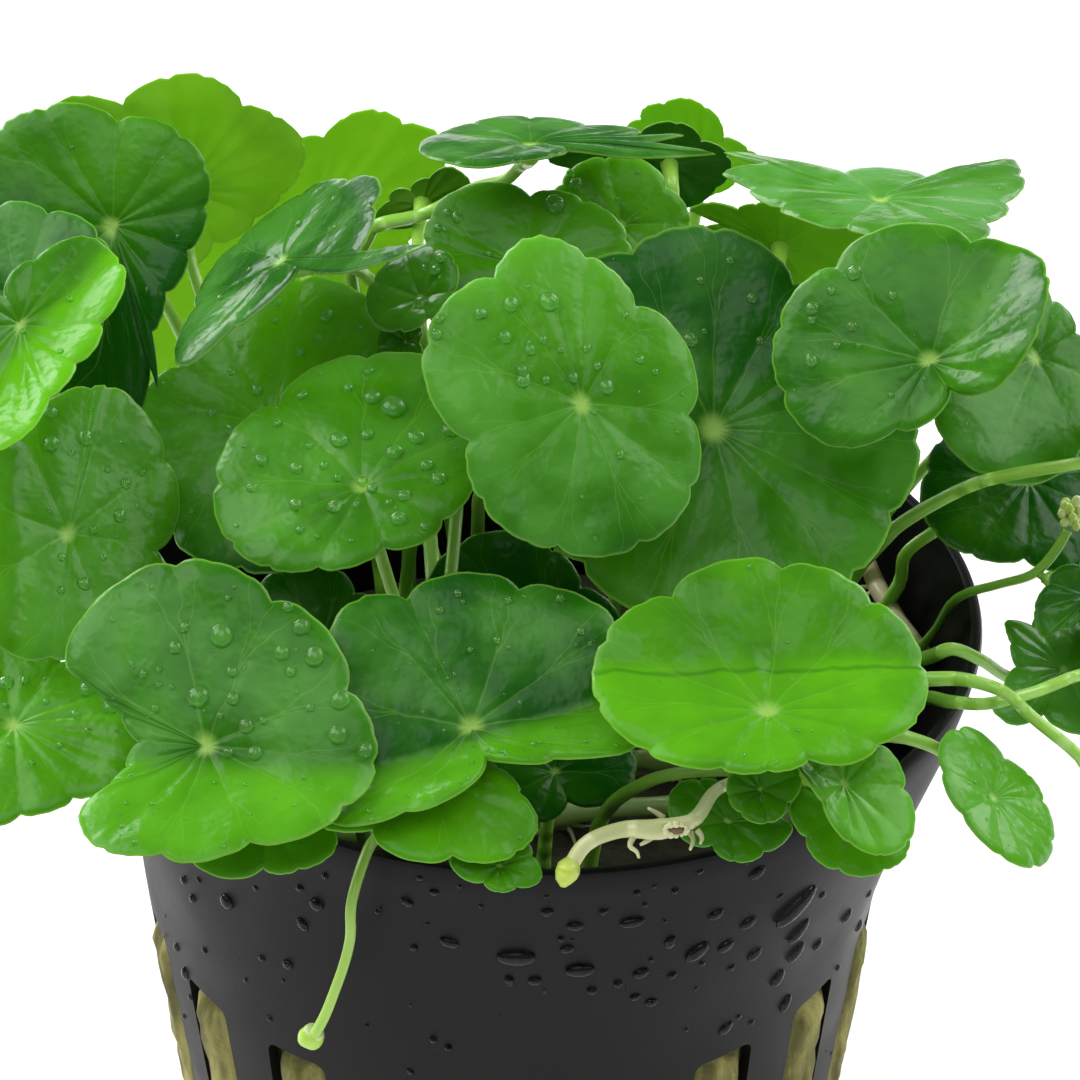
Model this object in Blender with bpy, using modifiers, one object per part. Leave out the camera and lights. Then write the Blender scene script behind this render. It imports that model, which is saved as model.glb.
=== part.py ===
"""Whorled pennywort growing in a small net pot. Metres, +Z up, origin at the middle of the pot's base."""

import math

import bmesh
import bpy
from mathutils import Matrix, Vector

MM = 0.001

# Pot: a soft plastic net pot, 50 mm tall, with a plain band above a row of upright slots
POT_HEIGHT = 50 * MM
POT_RIM_RADIUS = 25.0 * MM
POT_SHOULDER_RADIUS = 22.7 * MM
POT_BASE_RADIUS = 18.8 * MM
POT_SHOULDER_HEIGHT = 31 * MM
POT_WALL = 0.8 * MM
POT_FLOOR = 1.2 * MM
POT_SEGMENTS = 36
RIM_PUSH = 2.1 * MM
RIM_STRETCH = 0.06

# Slots: seven on each side, between a plain front panel and a plain back panel
SLOT_WIDTH = 4.2 * MM
SLOT_TOP = 31 * MM
SLOT_BOTTOM = 6 * MM
SLOT_COUNT = 7
SLOT_FIRST = 34.5
SLOT_STEP = 20.2

# Rockwool plug
PLUG_TOP = 38 * MM
PLUG_GAP = 0.35 * MM
PLUG_SEGMENTS = 24

# Plant
BLADE_THICKNESS = 0.45 * MM
STALK_RADIUS = 0.45 * MM
STALK_STEPS = 3
RUNNER_RADIUS = 0.7 * MM
TOUCH_GAP = 0.3 * MM
RUNNER_HEIGHT = PLUG_TOP + TOUCH_GAP + RUNNER_RADIUS
FOOT_HEIGHT = RUNNER_HEIGHT + RUNNER_RADIUS + TOUCH_GAP
SHORT_SPAN = 3.0 * MM
RIM_DIP = 1.5 * MM
RIM_CLEARANCE = 1.0 * MM
RIM_REACH = 1.6 * MM
LOBE_BULGE = 0.07
LOBE_SPAN = math.radians(46)
HIDDEN_SPAN = math.radians(72)
CREST_SPAN = math.radians(30)
FOLD_LENGTH = 1.6 * MM

# The photograph's camera, so that a leaf can be placed by where it is seen
VIEW_RISE = math.radians(36)
VIEW_DISTANCE = 350 * MM
VIEW_FOCAL = 5830
VIEW_MIDDLE = 540
VIEW_TARGET = Vector((1.8, 0, 55.5)) * MM

# Leaves. seen: where the stalk meets the blade in the photograph, in pixels. height: mm above the
# surface the pot stands on. faces: where the upper side looks, as heading (0 front, 90 right, 180
# back) and rise. radius: mm. margin: notches of the margin as seen, in pixels. folds: direction,
# distance from the stalk in radii, and angle of each bend. cup: how far the margin curls up. foot:
# where the stalk starts, in mm. rim: bearing at which the stalk leans over the pot's rim. stalk_seen:
# points of the stalk as across, down (pixels) and height (mm).
LEAVES = {
    "leaf_01": dict(seen=(185, 185), height=69, faces=(178, 15), radius=9.0, foot=(-13, 13.5),
                    margin=[(50, 108), (82, 92), (123, 100), (169, 73), (205, 74), (243, 103), (275, 111),
                            (303, 140), (299, 168), (280, 193), (254, 213), (214, 236)]),
    "leaf_02": dict(seen=(112, 225), height=71, faces=(-8, 38), radius=8.6, foot=(-12, 1.5),
                    margin=[(116, 121), (44, 109), (0, 128), (180, 136), (205, 168), (204, 206), (186, 250),
                            (165, 292), (152, 332), (149, 368), (157, 390), (140, 411), (108, 400)]),
    "leaf_03": dict(seen=(22, 322), height=74, faces=(35, 50), radius=6.0, cup=0.1, foot=(-17, 1),
                    folds=[(-35, 0.1, 45)],
                    margin=[(6, 296), (36, 259), (90, 236), (118, 262), (98, 320), (73, 358), (49, 394),
                            (26, 430), (-20, 452), (-60, 404), (-50, 334)]),
    "leaf_04": dict(seen=(20, 300), height=70, faces=(-25, 45), radius=4.8, foot=(-18.0, 0.5),
                    stalk_seen=[(130, 520, 55.0), (54, 400, 63.5)],
                    margin=[(96, 236), (45, 212), (0, 205)]),
    "leaf_05": dict(seen=(300, 245), height=60.5, faces=(186, 2), radius=8.6, foot=(-8, 14.5),
                    margin=[(323, 133), (344, 116), (379, 111), (402, 120), (438, 130), (440, 170),
                            (414, 206), (408, 240), (365, 300), (300, 360), (220, 402), (168, 398),
                            (140, 350), (150, 285), (190, 225), (250, 175)]),
    "leaf_06": dict(seen=(278, 258), height=73.5, faces=(-96, 53), radius=7.0, cup=0.04, foot=(-4.5, 6.5),
                    stalk_seen=[(388, 304, 65.5), (348, 266, 70.5)],
                    margin=[(183, 360), (196, 306), (236, 242), (298, 189), (344, 181), (372, 206),
                            (420, 240), (352, 249), (298, 268), (230, 322)]),
    "leaf_07": dict(seen=(272, 425), height=62, faces=(-14, 52), radius=8.6, foot=(-9.5, 2),
                    margin=[(374, 310), (369, 348), (300, 277), (222, 322), (178, 366), (140, 396),
                            (146, 470), (172, 532), (240, 566), (310, 556), (372, 500)]),
    "leaf_08": dict(seen=(362, 485), height=66.5, faces=(-14, 68), radius=8.0, cup=-0.05, foot=(-4.5, -7),
                    margin=[(218, 480), (231, 537), (268, 563), (318, 565), (383, 545), (442, 515),
                            (474, 473), (485, 421), (455, 368), (366, 353), (278, 402)]),
    "leaf_09": dict(seen=(69, 533), height=61.5, faces=(28, 50), radius=7.8, foot=(-14, -7),
                    folds=[(180, 0.3, 38)],
                    margin=[(93, 386), (108, 386), (166, 458), (159, 549), (107, 632), (52, 655),
                            (24, 436)]),
    "leaf_10": dict(seen=(13, 723), height=53, faces=(-15, 66), radius=7.6, foot=(-16, -7), rim=-58,
                    margin=[(60, 660), (99, 690), (122, 710), (140, 740), (128, 766), (110, 784), (72, 795),
                            (20, 812)]),
    "leaf_11": dict(seen=(205, 745), height=58, faces=(-12, 50), radius=9.0, foot=(-12.5, -7.5),
                    folds=[(-95, 0.05, 32)],
                    margin=[(175, 564), (271, 600), (346, 689), (372, 760), (342, 803), (250, 840),
                            (161, 851), (103, 844), (80, 803), (109, 783), (126, 766), (137, 741),
                            (120, 713), (97, 693), (64, 666)]),
    "leaf_12": dict(seen=(268, 820), height=53.2, faces=(-12, 62), radius=5.0, foot=(-8.5, -12), rim=-32,
                    margin=[(188, 850), (262, 865), (335, 845), (215, 815), (325, 815), (268, 792)]),
    "leaf_13": dict(seen=(583, 403), height=72, faces=(14, 46), radius=9.3, cup=-0.04, foot=(-2, -6.5),
                    stalk_seen=[(478, 522, 53.5), (482, 488, 59.5)],
                    margin=[(495, 275), (533, 234), (587, 255), (637, 304), (690, 414), (692, 486),
                            (640, 541), (559, 545), (484, 498), (470, 440), (429, 342)]),
    "leaf_14": dict(seen=(528, 268), height=70.5, faces=(-6, 52), radius=6.4, foot=(0.5, 1),
                    margin=[(430, 216), (530, 195), (626, 238), (425, 240), (500, 330), (600, 310)]),
    "leaf_15": dict(seen=(622, 224), height=71, faces=(12, 50), radius=5.0, foot=(2.5, 7.5),
                    margin=[(563, 182), (606, 158), (667, 187), (690, 222), (648, 256), (566, 262)]),
    "leaf_16": dict(seen=(714, 428), height=65, faces=(4, 46), radius=10.4, cup=0.05, foot=(7.5, 0),
                    margin=[(632, 252), (714, 230), (794, 282), (862, 330), (888, 385), (916, 440),
                            (890, 510), (854, 569), (760, 612), (640, 606), (585, 560)]),
    "leaf_17": dict(seen=(929, 360), height=74, faces=(-18, 48), radius=8.4, foot=(14.5, 7.5),
                    folds=[(-28, 0.08, 38)],
                    stalk_seen=[(903, 425, 58.5), (914, 388, 67.5)],
                    margin=[(835, 266), (970, 240), (1041, 272), (1035, 324), (1000, 376), (946, 386),
                            (896, 428), (843, 446), (783, 390), (780, 325)]),
    "leaf_18": dict(seen=(880, 196), height=76, faces=(170, 76), radius=8.0, foot=(11.5, 8),
                    margin=[(724, 147), (767, 165), (842, 170), (930, 172), (984, 162), (1009, 156),
                            (1020, 170), (1005, 194), (985, 214), (970, 238), (910, 240), (847, 222),
                            (782, 199), (752, 181), (722, 170)]),
    "leaf_19": dict(seen=(530, 140), height=77.5, faces=(176, 74), radius=6.0, foot=(-4.0, 14.0),
                    stalk_seen=[(372, 228, 66.0), (430, 212, 69.0), (478, 187, 71.4), (505, 180, 72.6),
                                (520, 167, 74.4)],
                    margin=[(438, 128), (472, 121), (530, 120), (588, 122), (642, 124), (684, 133),
                            (716, 148), (690, 147), (640, 139), (596, 136), (566, 146), (517, 159),
                            (453, 158)]),
    "leaf_20": dict(seen=(700, 165), height=67.5, faces=(176, 22), radius=4.6, foot=(6.5, 13),
                    margin=[(641, 118), (645, 104), (664, 100), (686, 95), (705, 105), (721, 120),
                            (724, 133), (748, 146), (764, 168), (735, 180), (690, 190), (650, 178)]),
    "leaf_21": dict(seen=(668, 158), height=71, faces=(186, 14), radius=5.4, foot=(8, 13),
                    margin=[(560, 140), (640, 130), (700, 136), (726, 152), (716, 186), (694, 201),
                            (655, 190), (598, 172), (549, 160)]),
    "leaf_22": dict(seen=(1038, 356), height=65, faces=(32, 54), radius=8.4, foot=(18.5, 7.0),
                    margin=[(976, 240), (1054, 299), (1078, 331), (1100, 380), (1080, 451), (990, 472),
                            (937, 406)]),
    "leaf_23": dict(seen=(1030, 478), height=56.2, faces=(30, 62), radius=7.0, foot=(17.5, 0.5),
                    stalk_seen=[(899, 584, 46.5), (908, 551, 51), (937, 530, 53.5)],
                    margin=[(930, 469), (942, 440), (1000, 440), (1060, 440), (937, 528), (973, 552),
                            (1025, 557), (1082, 562)]),
    "leaf_24": dict(seen=(471, 726), height=58, faces=(6, 50), radius=9.0, foot=(-7, -7.5),
                    folds=[(-72, 0.04, 42)],
                    margin=[(358, 598), (407, 597), (520, 587), (616, 626), (648, 700), (619, 749),
                            (553, 753), (486, 755), (404, 804), (343, 820), (330, 700)]),
    "leaf_25": dict(seen=(768, 710), height=61, faces=(4, 76), radius=10.0, foot=(12.5, 0.0),
                    folds=[(92, 0.28, 24)],
                    margin=[(672, 594), (783, 565), (872, 600), (921, 663), (918, 710), (878, 739),
                            (809, 757), (768, 769), (722, 762), (648, 742), (600, 700), (606, 640)]),
    "leaf_26": dict(seen=(430, 782), height=55.7, faces=(4, 66), radius=5.6, foot=(-3, -12),
                    margin=[(322, 823), (372, 828), (453, 855), (517, 847), (538, 820), (520, 792),
                            (498, 765), (440, 762), (380, 775)]),
    "leaf_27": dict(seen=(500, 864), height=52.4, faces=(8, 58), radius=2.8, foot=(0.5, -12.5), rim=-4,
                    margin=[(450, 858), (484, 880), (517, 885), (541, 878), (532, 856), (490, 848)]),
    "leaf_28": dict(seen=(728, 820), height=52.5, faces=(6, 50), radius=3.8, foot=(12.5, -13),
                    margin=[(676, 786), (713, 844), (764, 851), (793, 824), (772, 815), (735, 799),
                            (700, 779)]),
    "leaf_29": dict(seen=(760, 788), height=55.5, faces=(0, 52), radius=2.4, foot=(12, -5),
                    margin=[(731, 775), (741, 811), (788, 802), (800, 775), (762, 758)]),
    "leaf_30": dict(seen=(846, 782), height=57, faces=(30, 56), radius=4.6, foot=(4.4, -13.4),
                    folds=[(215, 0.1, 40)],
                    stalk_seen=[(604, 815, 47.0), (630, 791, 50.5), (657, 778, 52.0), (731, 770, 53.4),
                                (800, 778, 54.6)],
                    margin=[(801, 765), (826, 799), (856, 838), (881, 854), (908, 840), (906, 786),
                            (879, 744)]),
    "leaf_31": dict(seen=(846, 812), height=53.2, faces=(14, 52), radius=4.2, foot=(14, -12.5), rim=41,
                    margin=[(791, 803), (807, 836), (840, 867), (884, 869), (908, 851), (884, 802),
                            (845, 792), (806, 787)]),
    "leaf_32": dict(seen=(996, 795), height=49.5, faces=(76, 50), radius=5.0, foot=(16.5, -5.5),
                    stalk_seen=[(905, 737, 51.6), (934, 747, 51.1), (962, 768, 49.8)],
                    margin=[(1008, 755), (1031, 772), (1044, 801), (1055, 839), (1037, 862), (1002, 854),
                            (968, 811), (947, 769)]),
    "leaf_33": dict(seen=(1066, 668), height=49.6, faces=(50, 56), radius=4.4, foot=(16, 7.5),
                    stalk_seen=[(930, 657, 50.6), (953, 649, 51.8), (981, 660, 51.0), (1006, 676, 49.2),
                                (1036, 684, 48.2)],
                    margin=[(1007, 620), (1034, 624), (1013, 642), (1019, 664), (1007, 690), (993, 709),
                            (1012, 724), (1047, 712)]),
    "leaf_34": dict(seen=(1092, 594), height=55, faces=(35, 45), radius=4.2, start_seen=(1047, 577, 54.0),
                    stalk_seen=[(1060, 590, 53.8)],
                    margin=[(1038, 608), (1050, 584), (1080, 566), (1046, 637), (1062, 628), (1082, 620)]),
    "leaf_35": dict(seen=(530, 640), height=50, faces=(0, 48), radius=5.6, foot=(2.5, 0.5),
                    margin=[(458, 547), (552, 550), (581, 587), (620, 620)]),
    "leaf_36": dict(seen=(322, 640), height=51, faces=(-8, 46), radius=4.4, foot=(-4.5, 1.5),
                    margin=[(280, 570), (340, 571), (354, 592)]),
    "leaf_37": dict(seen=(555, 770), height=49, faces=(4, 60), radius=3.8, foot=(2, -13),
                    margin=[(487, 762), (568, 799), (635, 772)]),
    "leaf_38": dict(seen=(418, 296), height=70.5, faces=(-50, 52), radius=3.6, foot=(-5, -12),
                    margin=[(437, 249), (453, 262), (450, 290), (427, 318), (397, 327)]),
    "leaf_39": dict(seen=(404, 340), height=67, faces=(-30, 50), radius=2.0, foot=(-7, 1.5),
                    margin=[(378, 346), (412, 322), (418, 342)]),
    "leaf_40": dict(seen=(780, 240), height=66, faces=(176, 16), radius=4.8, foot=(9.5, 8),
                    margin=[(680, 250), (690, 206), (706, 202), (724, 222), (738, 208), (756, 200),
                            (780, 198), (850, 206)]),
    "leaf_41": dict(seen=(424, 196), height=68, faces=(172, 14), radius=3.6, foot=(-2, 1),
                    margin=[(374, 218), (390, 199), (412, 186), (430, 174), (448, 166), (471, 178),
                            (450, 203), (428, 212)]),
    "leaf_right_1": dict(seen=(1156, 440), height=64, faces=(60, 52), radius=4.8, foot=(15, 0),
                         stalk_seen=[(893, 530, 55), (937, 502, 58.5), (984, 481, 61.5), (1025, 472, 63),
                                     (1080, 463, 64)],
                         margin=[]),
    "leaf_right_2": dict(seen=(1150, 660), height=50, faces=(85, 58), radius=4.6, foot=(19, -6),
                         stalk_seen=[(925, 698, 49.4), (952, 702, 51.2), (984, 704, 51.9),
                                     (1025, 695, 52.1), (1080, 675, 51.5)],
                         margin=[]),
    "leaf_right_3": dict(seen=(1140, 806), height=42, faces=(80, 50), radius=4.2, foot=(20.0, 1.0),
                         stalk_seen=[(931, 679, 52.5), (967, 680, 53.5), (1002, 691, 53.5),
                                     (1031, 716, 51.7), (1080, 757, 48.3), (1106, 806, 41.8)],
                         margin=[]),
    "leaf_back_1": dict(seen=(330, 290), height=52, faces=(200, 40), radius=7.0, foot=(-6.5, 14.5), rim=204,
                        margin=[]),
    "leaf_back_2": dict(seen=(560, 268), height=50, faces=(180, 48), radius=7.2, foot=(3.5, 13.5), rim=176,
                        margin=[]),
    "leaf_back_3": dict(seen=(790, 300), height=52, faces=(155, 44), radius=6.8, foot=(10, 13.5), rim=152,
                        margin=[]),
}

# Creeping stems on the rockwool: where each starts and ends across the pot, and its sideways wander
RUNNERS = {
    "runner_front": dict(start=(-13.5, -13.0), end=(14.0, -12.5), wander=1.0),
    "runner_front_middle": dict(start=(-18.5, -6.5), end=(19.0, -6.0), wander=-1.2),
    "runner_middle": dict(start=(-19.5, 0.5), end=(20.0, 1.0), wander=1.2),
    "runner_back_middle": dict(start=(-18.0, 7.5), end=(18.5, 7.0), wander=-1.0),
    "runner_back": dict(start=(-13.0, 13.5), end=(13.0, 14.0), wander=0.8),
}

# Shoots. inside: points in the pot, in mm. seen: points as across, down (pixels) and height (mm).
# swell: thickness along the shoot as a share of the radius (mm)
SHOOTS = {
    "hanging_shoot": dict(
        inside=[(-5.5, -14.5, 40.2), (-6.6, -20.2, 48.6)],
        seen=[(371, 844, 51.1), (352, 900, 48.6), (350, 940, 45.4), (335, 990, 41.5), (320, 1025, 38.8),
              (312, 1038, 37.8), (308, 1046, 37.2)],
        radius=0.36, swell=(1.3, 1.2, 1.1, 1, 1, 1, 0.9, 1.8, 1.0), pale=False),
    "broken_runner": dict(
        inside=[],
        seen=[(738, 780, 54.2), (718, 789, 54.2), (690, 822, 53.8), (660, 829, 53.6), (620, 830, 53.4),
              (585, 845, 53.0), (570, 868, 52.4), (565, 884, 51.8)],
        radius=0.5, swell=(1, 0.9, 1.5, 1.3, 1.1, 1.0, 1.2, 0.5), pale=True),
    "flower_stem": dict(
        inside=[(21.4, 2.6, 40.4)],
        seen=[(931, 636, 46.5), (967, 593, 51.8), (1000, 584, 53.0), (1036, 572, 54.2), (1056, 550, 55.2),
              (1068, 530, 56.2), (1073, 514, 57.0)],
        radius=0.3, swell=(1, 1, 1, 1, 1, 1, 3.2, 1.6), pale=False),
}


def material(name, color, roughness):
    """A plain material of one colour."""
    made = bpy.data.materials.new(name)
    made.use_nodes = True
    shader = made.node_tree.nodes["Principled BSDF"]
    shader.inputs["Base Color"].default_value = (*color, 1)
    shader.inputs["Roughness"].default_value = roughness
    return made


def add_object(name, data, paint, collection):
    """A new object in the collection, with its material."""
    made = bpy.data.objects.new(name, data)
    data.materials.append(paint)
    collection.objects.link(made)
    return made


def tube(name, points, radius, paint, collection, sides_step=1, taper=None):
    """A closed tube along the points, as a curve with filled caps."""
    curve = bpy.data.curves.new(name, "CURVE")
    curve.dimensions = "3D"
    curve.bevel_depth = radius
    curve.bevel_resolution = sides_step
    curve.use_fill_caps = True
    line = curve.splines.new("POLY")
    line.points.add(len(points) - 1)
    for index, point in enumerate(points):
        line.points[index].co = (*point, 1)
        line.points[index].radius = taper[index] if taper else 1
    return add_object(name, curve, paint, collection)


def as_mesh(curve_object, paint, collection):
    """The curve object as a closed mesh object, in its place."""
    graph = bpy.context.evaluated_depsgraph_get()
    mesh = bpy.data.meshes.new_from_object(curve_object.evaluated_get(graph))
    name = curve_object.name
    matrix = curve_object.matrix_world.copy()
    bpy.data.objects.remove(curve_object)
    shape = bmesh.new()
    shape.from_mesh(mesh)
    bmesh.ops.remove_doubles(shape, verts=shape.verts, dist=0.00001)
    bmesh.ops.recalc_face_normals(shape, faces=shape.faces)
    shape.to_mesh(mesh)
    shape.free()
    mesh.materials.clear()
    made = add_object(name, mesh, paint, collection)
    made.matrix_world = matrix
    return made


def smooth_path(points, steps):
    """Points along a smooth curve through the given points: one for each short span, more for a long one."""
    last = len(points) - 1
    spans = [(there - here).length for here, there in zip(points, points[1:])]
    slopes = []
    for index, point in enumerate(points):
        before = max(index - 1, 0)
        after = min(index, last - 1)
        slope_before = (points[before + 1] - points[before]) / spans[before]
        slope_after = (points[after + 1] - points[after]) / spans[after]
        weight = spans[after] / (spans[before] + spans[after])
        slopes.append(slope_before * weight + slope_after * (1 - weight))
    path = []
    for index in range(last):
        reach = spans[index]
        count = steps if reach > SHORT_SPAN else 1
        for step in range(count):
            t = step / count
            spot = points[index] * (1 + 2 * t) * (1 - t) ** 2 + points[index + 1] * t * t * (3 - 2 * t)
            spot += slopes[index] * reach * t * (1 - t) ** 2
            spot -= slopes[index + 1] * reach * t * t * (1 - t)
            path.append(spot)
    path.append(points[-1])
    return path


def view_axes():
    """The photograph camera's right, up and back directions."""
    right = Vector((1, 0, 0))
    up = Vector((0, math.sin(VIEW_RISE), math.cos(VIEW_RISE)))
    back = Vector((0, -math.cos(VIEW_RISE), math.sin(VIEW_RISE)))
    return right, up, back


def seen_pixel(point):
    """Where the photograph shows a point."""
    right, up, back = view_axes()
    offset = point - VIEW_TARGET
    distance = VIEW_DISTANCE - offset.dot(back)
    across = VIEW_MIDDLE + VIEW_FOCAL * offset.dot(right) / distance
    down = VIEW_MIDDLE - VIEW_FOCAL * offset.dot(up) / distance
    return Vector((across, down))


def sight(pixel, height):
    """The point at this height that the photograph shows at the pixel."""
    right, up, back = view_axes()
    eye = VIEW_TARGET + back * VIEW_DISTANCE
    ray = (pixel[0] - VIEW_MIDDLE) * right - (pixel[1] - VIEW_MIDDLE) * up - VIEW_FOCAL * back
    return eye + ray * ((height - eye.z) / ray.z)


def leaf_frame(leaf):
    """The leaf's own axes: X to the right as seen, Z out of its upper side."""
    heading = math.radians(leaf["faces"][0])
    rise = math.radians(leaf["faces"][1])
    level = math.cos(rise)
    normal = Vector((math.sin(heading) * level, -math.cos(heading) * level, math.sin(rise)))
    right = Vector((1, 0, 0))
    side = (right - normal * right.dot(normal)).normalized()
    matrix = Matrix((side, normal.cross(side), normal)).transposed().to_4x4()
    matrix.translation = sight(leaf["seen"], leaf["height"] * MM)
    return matrix


def bent(leaf, x, y):
    """A point of the flat blade, moved to where the cup and the folds take it."""
    radius = leaf["radius"] * MM
    point = Vector((x, y, leaf.get("cup", 0) * (x * x + y * y) / radius))
    for direction, offset, angle in leaf.get("folds", []):
        turn = math.radians(direction)
        along = Vector((math.cos(turn), math.sin(turn), 0))
        past = point.dot(along) - offset * radius
        if past <= 0:
            continue
        angle = math.radians(angle)
        curl = angle * min(past / FOLD_LENGTH, 1)
        reach = FOLD_LENGTH / angle
        straight = max(past - FOLD_LENGTH, 0)
        out = reach * math.sin(curl) + straight * math.cos(curl)
        lift = reach * (1 - math.cos(curl)) + straight * math.sin(curl)
        point += along * (out - past) + Vector((0, 0, lift))
    return point


def margin_point(leaf, frame, pixel):
    """The point of the flat blade that the photograph shows at the pixel."""
    step = 0.01 * MM
    x = 0.0
    y = 0.0
    for _ in range(12):
        here = seen_pixel(frame @ bent(leaf, x, y))
        by_x = (seen_pixel(frame @ bent(leaf, x + step, y)) - here) / step
        by_y = (seen_pixel(frame @ bent(leaf, x, y + step)) - here) / step
        miss = Vector(pixel) - here
        scale = by_x.x * by_y.y - by_y.x * by_x.y
        x += max(-0.003, min(0.003, (miss.x * by_y.y - miss.y * by_y.x) / scale))
        y += max(-0.003, min(0.003, (miss.y * by_x.x - miss.x * by_x.y) / scale))
    return x, y


def notches(leaf, frame):
    """Angle and radius of each notch, with the hidden side filled in at the leaf's radius."""
    found = []
    for pixel in leaf["margin"]:
        x, y = margin_point(leaf, frame, pixel)
        found.append((math.atan2(y, x), math.hypot(x, y)))
    if not found:
        found = [(0.2, leaf["radius"] * MM)]
    found.sort()
    ring = []
    for index, (angle, radius) in enumerate(found):
        ring.append((angle, radius))
        follows, next_radius = found[(index + 1) % len(found)]
        if index == len(found) - 1:
            follows += math.tau
        gap = follows - angle
        extra = round(gap / LOBE_SPAN) - 1
        unseen = max(0, min(1, gap / HIDDEN_SPAN - 1))
        for step in range(extra):
            share = (step + 1) / (extra + 1)
            hidden = min(1, 4 * share * (1 - share)) * unseen
            blend = (radius * (1 - share) + next_radius * share) * (1 - hidden)
            ring.append((angle + gap * share, blend + leaf["radius"] * MM * hidden))
    return ring


def outline(leaf, frame):
    """Margin of the flat blade: a point at each notch and at the crest of each lobe that is not small."""
    ring = notches(leaf, frame)
    points = []
    for index, (angle, radius) in enumerate(ring):
        follows, next_radius = ring[(index + 1) % len(ring)]
        if follows <= angle:
            follows += math.tau
        span = follows - angle
        points.append((radius * math.cos(angle), radius * math.sin(angle)))
        if span > CREST_SPAN:
            crest = (radius + next_radius) / 2 * (1 + LOBE_BULGE * min(span / LOBE_SPAN, 1.5))
            middle = angle + span / 2
            points.append((crest * math.cos(middle), crest * math.sin(middle)))
    return points


def leaf_blade(name, leaf, frame, paint, collection):
    """The round blade: a disc moved to the leaf's margin, bent and thickened."""
    margin = outline(leaf, frame)
    shape = bmesh.new()
    bowed = "folds" in leaf or "cup" in leaf
    bmesh.ops.create_circle(shape, cap_ends=True, cap_tris=bowed, segments=len(margin), radius=1)
    shape.normal_update()
    if sum(face.normal.z for face in shape.faces) < 0:
        bmesh.ops.reverse_faces(shape, faces=shape.faces)
    if "folds" in leaf:
        spokes = [edge for edge in shape.edges if not edge.is_boundary]
        bmesh.ops.subdivide_edges(shape, edges=spokes, cuts=1)
    for vert in shape.verts:
        share = min(vert.co.length, 1)
        turn = (math.atan2(vert.co.y, vert.co.x) / math.tau - 0.25) * len(margin)
        spot = Vector(margin[round(turn) % len(margin)]) * share
        vert.co = bent(leaf, spot.x, spot.y)
    bmesh.ops.triangulate(shape, faces=shape.faces)
    mesh = bpy.data.meshes.new(name)
    shape.to_mesh(mesh)
    shape.free()
    blade = add_object(name, mesh, paint, collection)
    blade.matrix_world = frame
    skin = blade.modifiers.new("thickness", "SOLIDIFY")
    skin.thickness = BLADE_THICKNESS
    skin.offset = -1
    return blade


def foot_of(leaf):
    """Where the stalk grows from: on the creeping stem nearest to the leaf's foot."""
    want = Vector((*leaf["foot"], 0)) * MM
    best = None
    for runner in RUNNERS.values():
        for point in smooth_path(runner_points(runner), 8):
            gap = math.hypot(point.x - want.x, point.y - want.y)
            if best is None or gap < best[0]:
                best = (gap, point)
    return Vector((best[1].x, best[1].y, FOOT_HEIGHT))


def rim_crossing(bearing):
    """Points that lead a stalk over the pot's rim at this bearing: 0 front, 90 right."""
    turn = math.radians(bearing)
    crest = Vector((POT_RIM_RADIUS * math.sin(turn), -POT_RIM_RADIUS * math.cos(turn), POT_HEIGHT))
    push_rim(crest)
    inside = Vector((crest.x * 0.8, crest.y * 0.8, POT_HEIGHT - RIM_DIP))
    crest.z += RIM_CLEARANCE
    return [inside, crest]


def stalk_path(leaf, frame):
    """A smooth line from the foot up into the blade, which it meets square."""
    head = frame.translation
    normal = frame.to_3x3() @ Vector((0, 0, 1))
    if "start_seen" in leaf:
        foot = sight(leaf["start_seen"], leaf["start_seen"][2] * MM)
    else:
        foot = foot_of(leaf)
    neck = head - normal * BLADE_THICKNESS * 2.6
    top = head - normal * BLADE_THICKNESS * 0.4
    if "rim" in leaf:
        inside, crest = rim_crossing(leaf["rim"])
        if (crest - head).length < RIM_REACH:
            return smooth_path([foot, inside, neck], 3) + [top]
        return smooth_path([foot, inside, crest, neck], 2) + [top]
    if "stalk_seen" in leaf:
        way = [sight(point, point[2] * MM) for point in leaf["stalk_seen"]]
        return smooth_path([foot, *way, neck], 2) + [top]
    length = (head - foot).length
    lean = Vector((head.x - foot.x, head.y - foot.y, 0)) * 0.1
    start = foot + lean + Vector((0, 0, length * 0.4))
    end = head - normal * length * 0.3
    path = []
    for step in range(STALK_STEPS):
        t = step / STALK_STEPS
        path.append(foot * (1 - t) ** 3 + start * 3 * t * (1 - t) ** 2 + end * 3 * t * t * (1 - t)
                    + neck * t ** 3)
    return path + [neck, top]


def build_leaf(name, leaf, paint, collection, cutters):
    """One leaf: its blade and its stalk in one solid."""
    frame = leaf_frame(leaf)
    blade = leaf_blade(name, leaf, frame, paint, collection)
    stalk = tube(name + "_stalk", stalk_path(leaf, frame), STALK_RADIUS, paint, cutters)
    stalk = as_mesh(stalk, paint, cutters)
    stalk.hide_render = True
    stalk.display_type = "WIRE"
    join = blade.modifiers.new("stalk", "BOOLEAN")
    join.operation = "UNION"
    join.object = stalk


def runner_points(runner):
    """Route of one creeping stem over the rockwool."""
    start = Vector((*runner["start"], 0)) * MM
    end = Vector((*runner["end"], 0)) * MM
    points = []
    for step in range(5):
        t = step / 4
        point = start.lerp(end, t)
        point.y += runner["wander"] * MM * math.sin(t * math.tau)
        point.z = RUNNER_HEIGHT
        points.append(point)
    return points


def wall_radius(height):
    """Outer radius of the pot's wall at a height."""
    if height > POT_SHOULDER_HEIGHT:
        share = (height - POT_SHOULDER_HEIGHT) / (POT_HEIGHT - POT_SHOULDER_HEIGHT)
        return POT_SHOULDER_RADIUS + (POT_RIM_RADIUS - POT_SHOULDER_RADIUS) * share
    return POT_BASE_RADIUS + (POT_SHOULDER_RADIUS - POT_BASE_RADIUS) * height / POT_SHOULDER_HEIGHT


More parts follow.
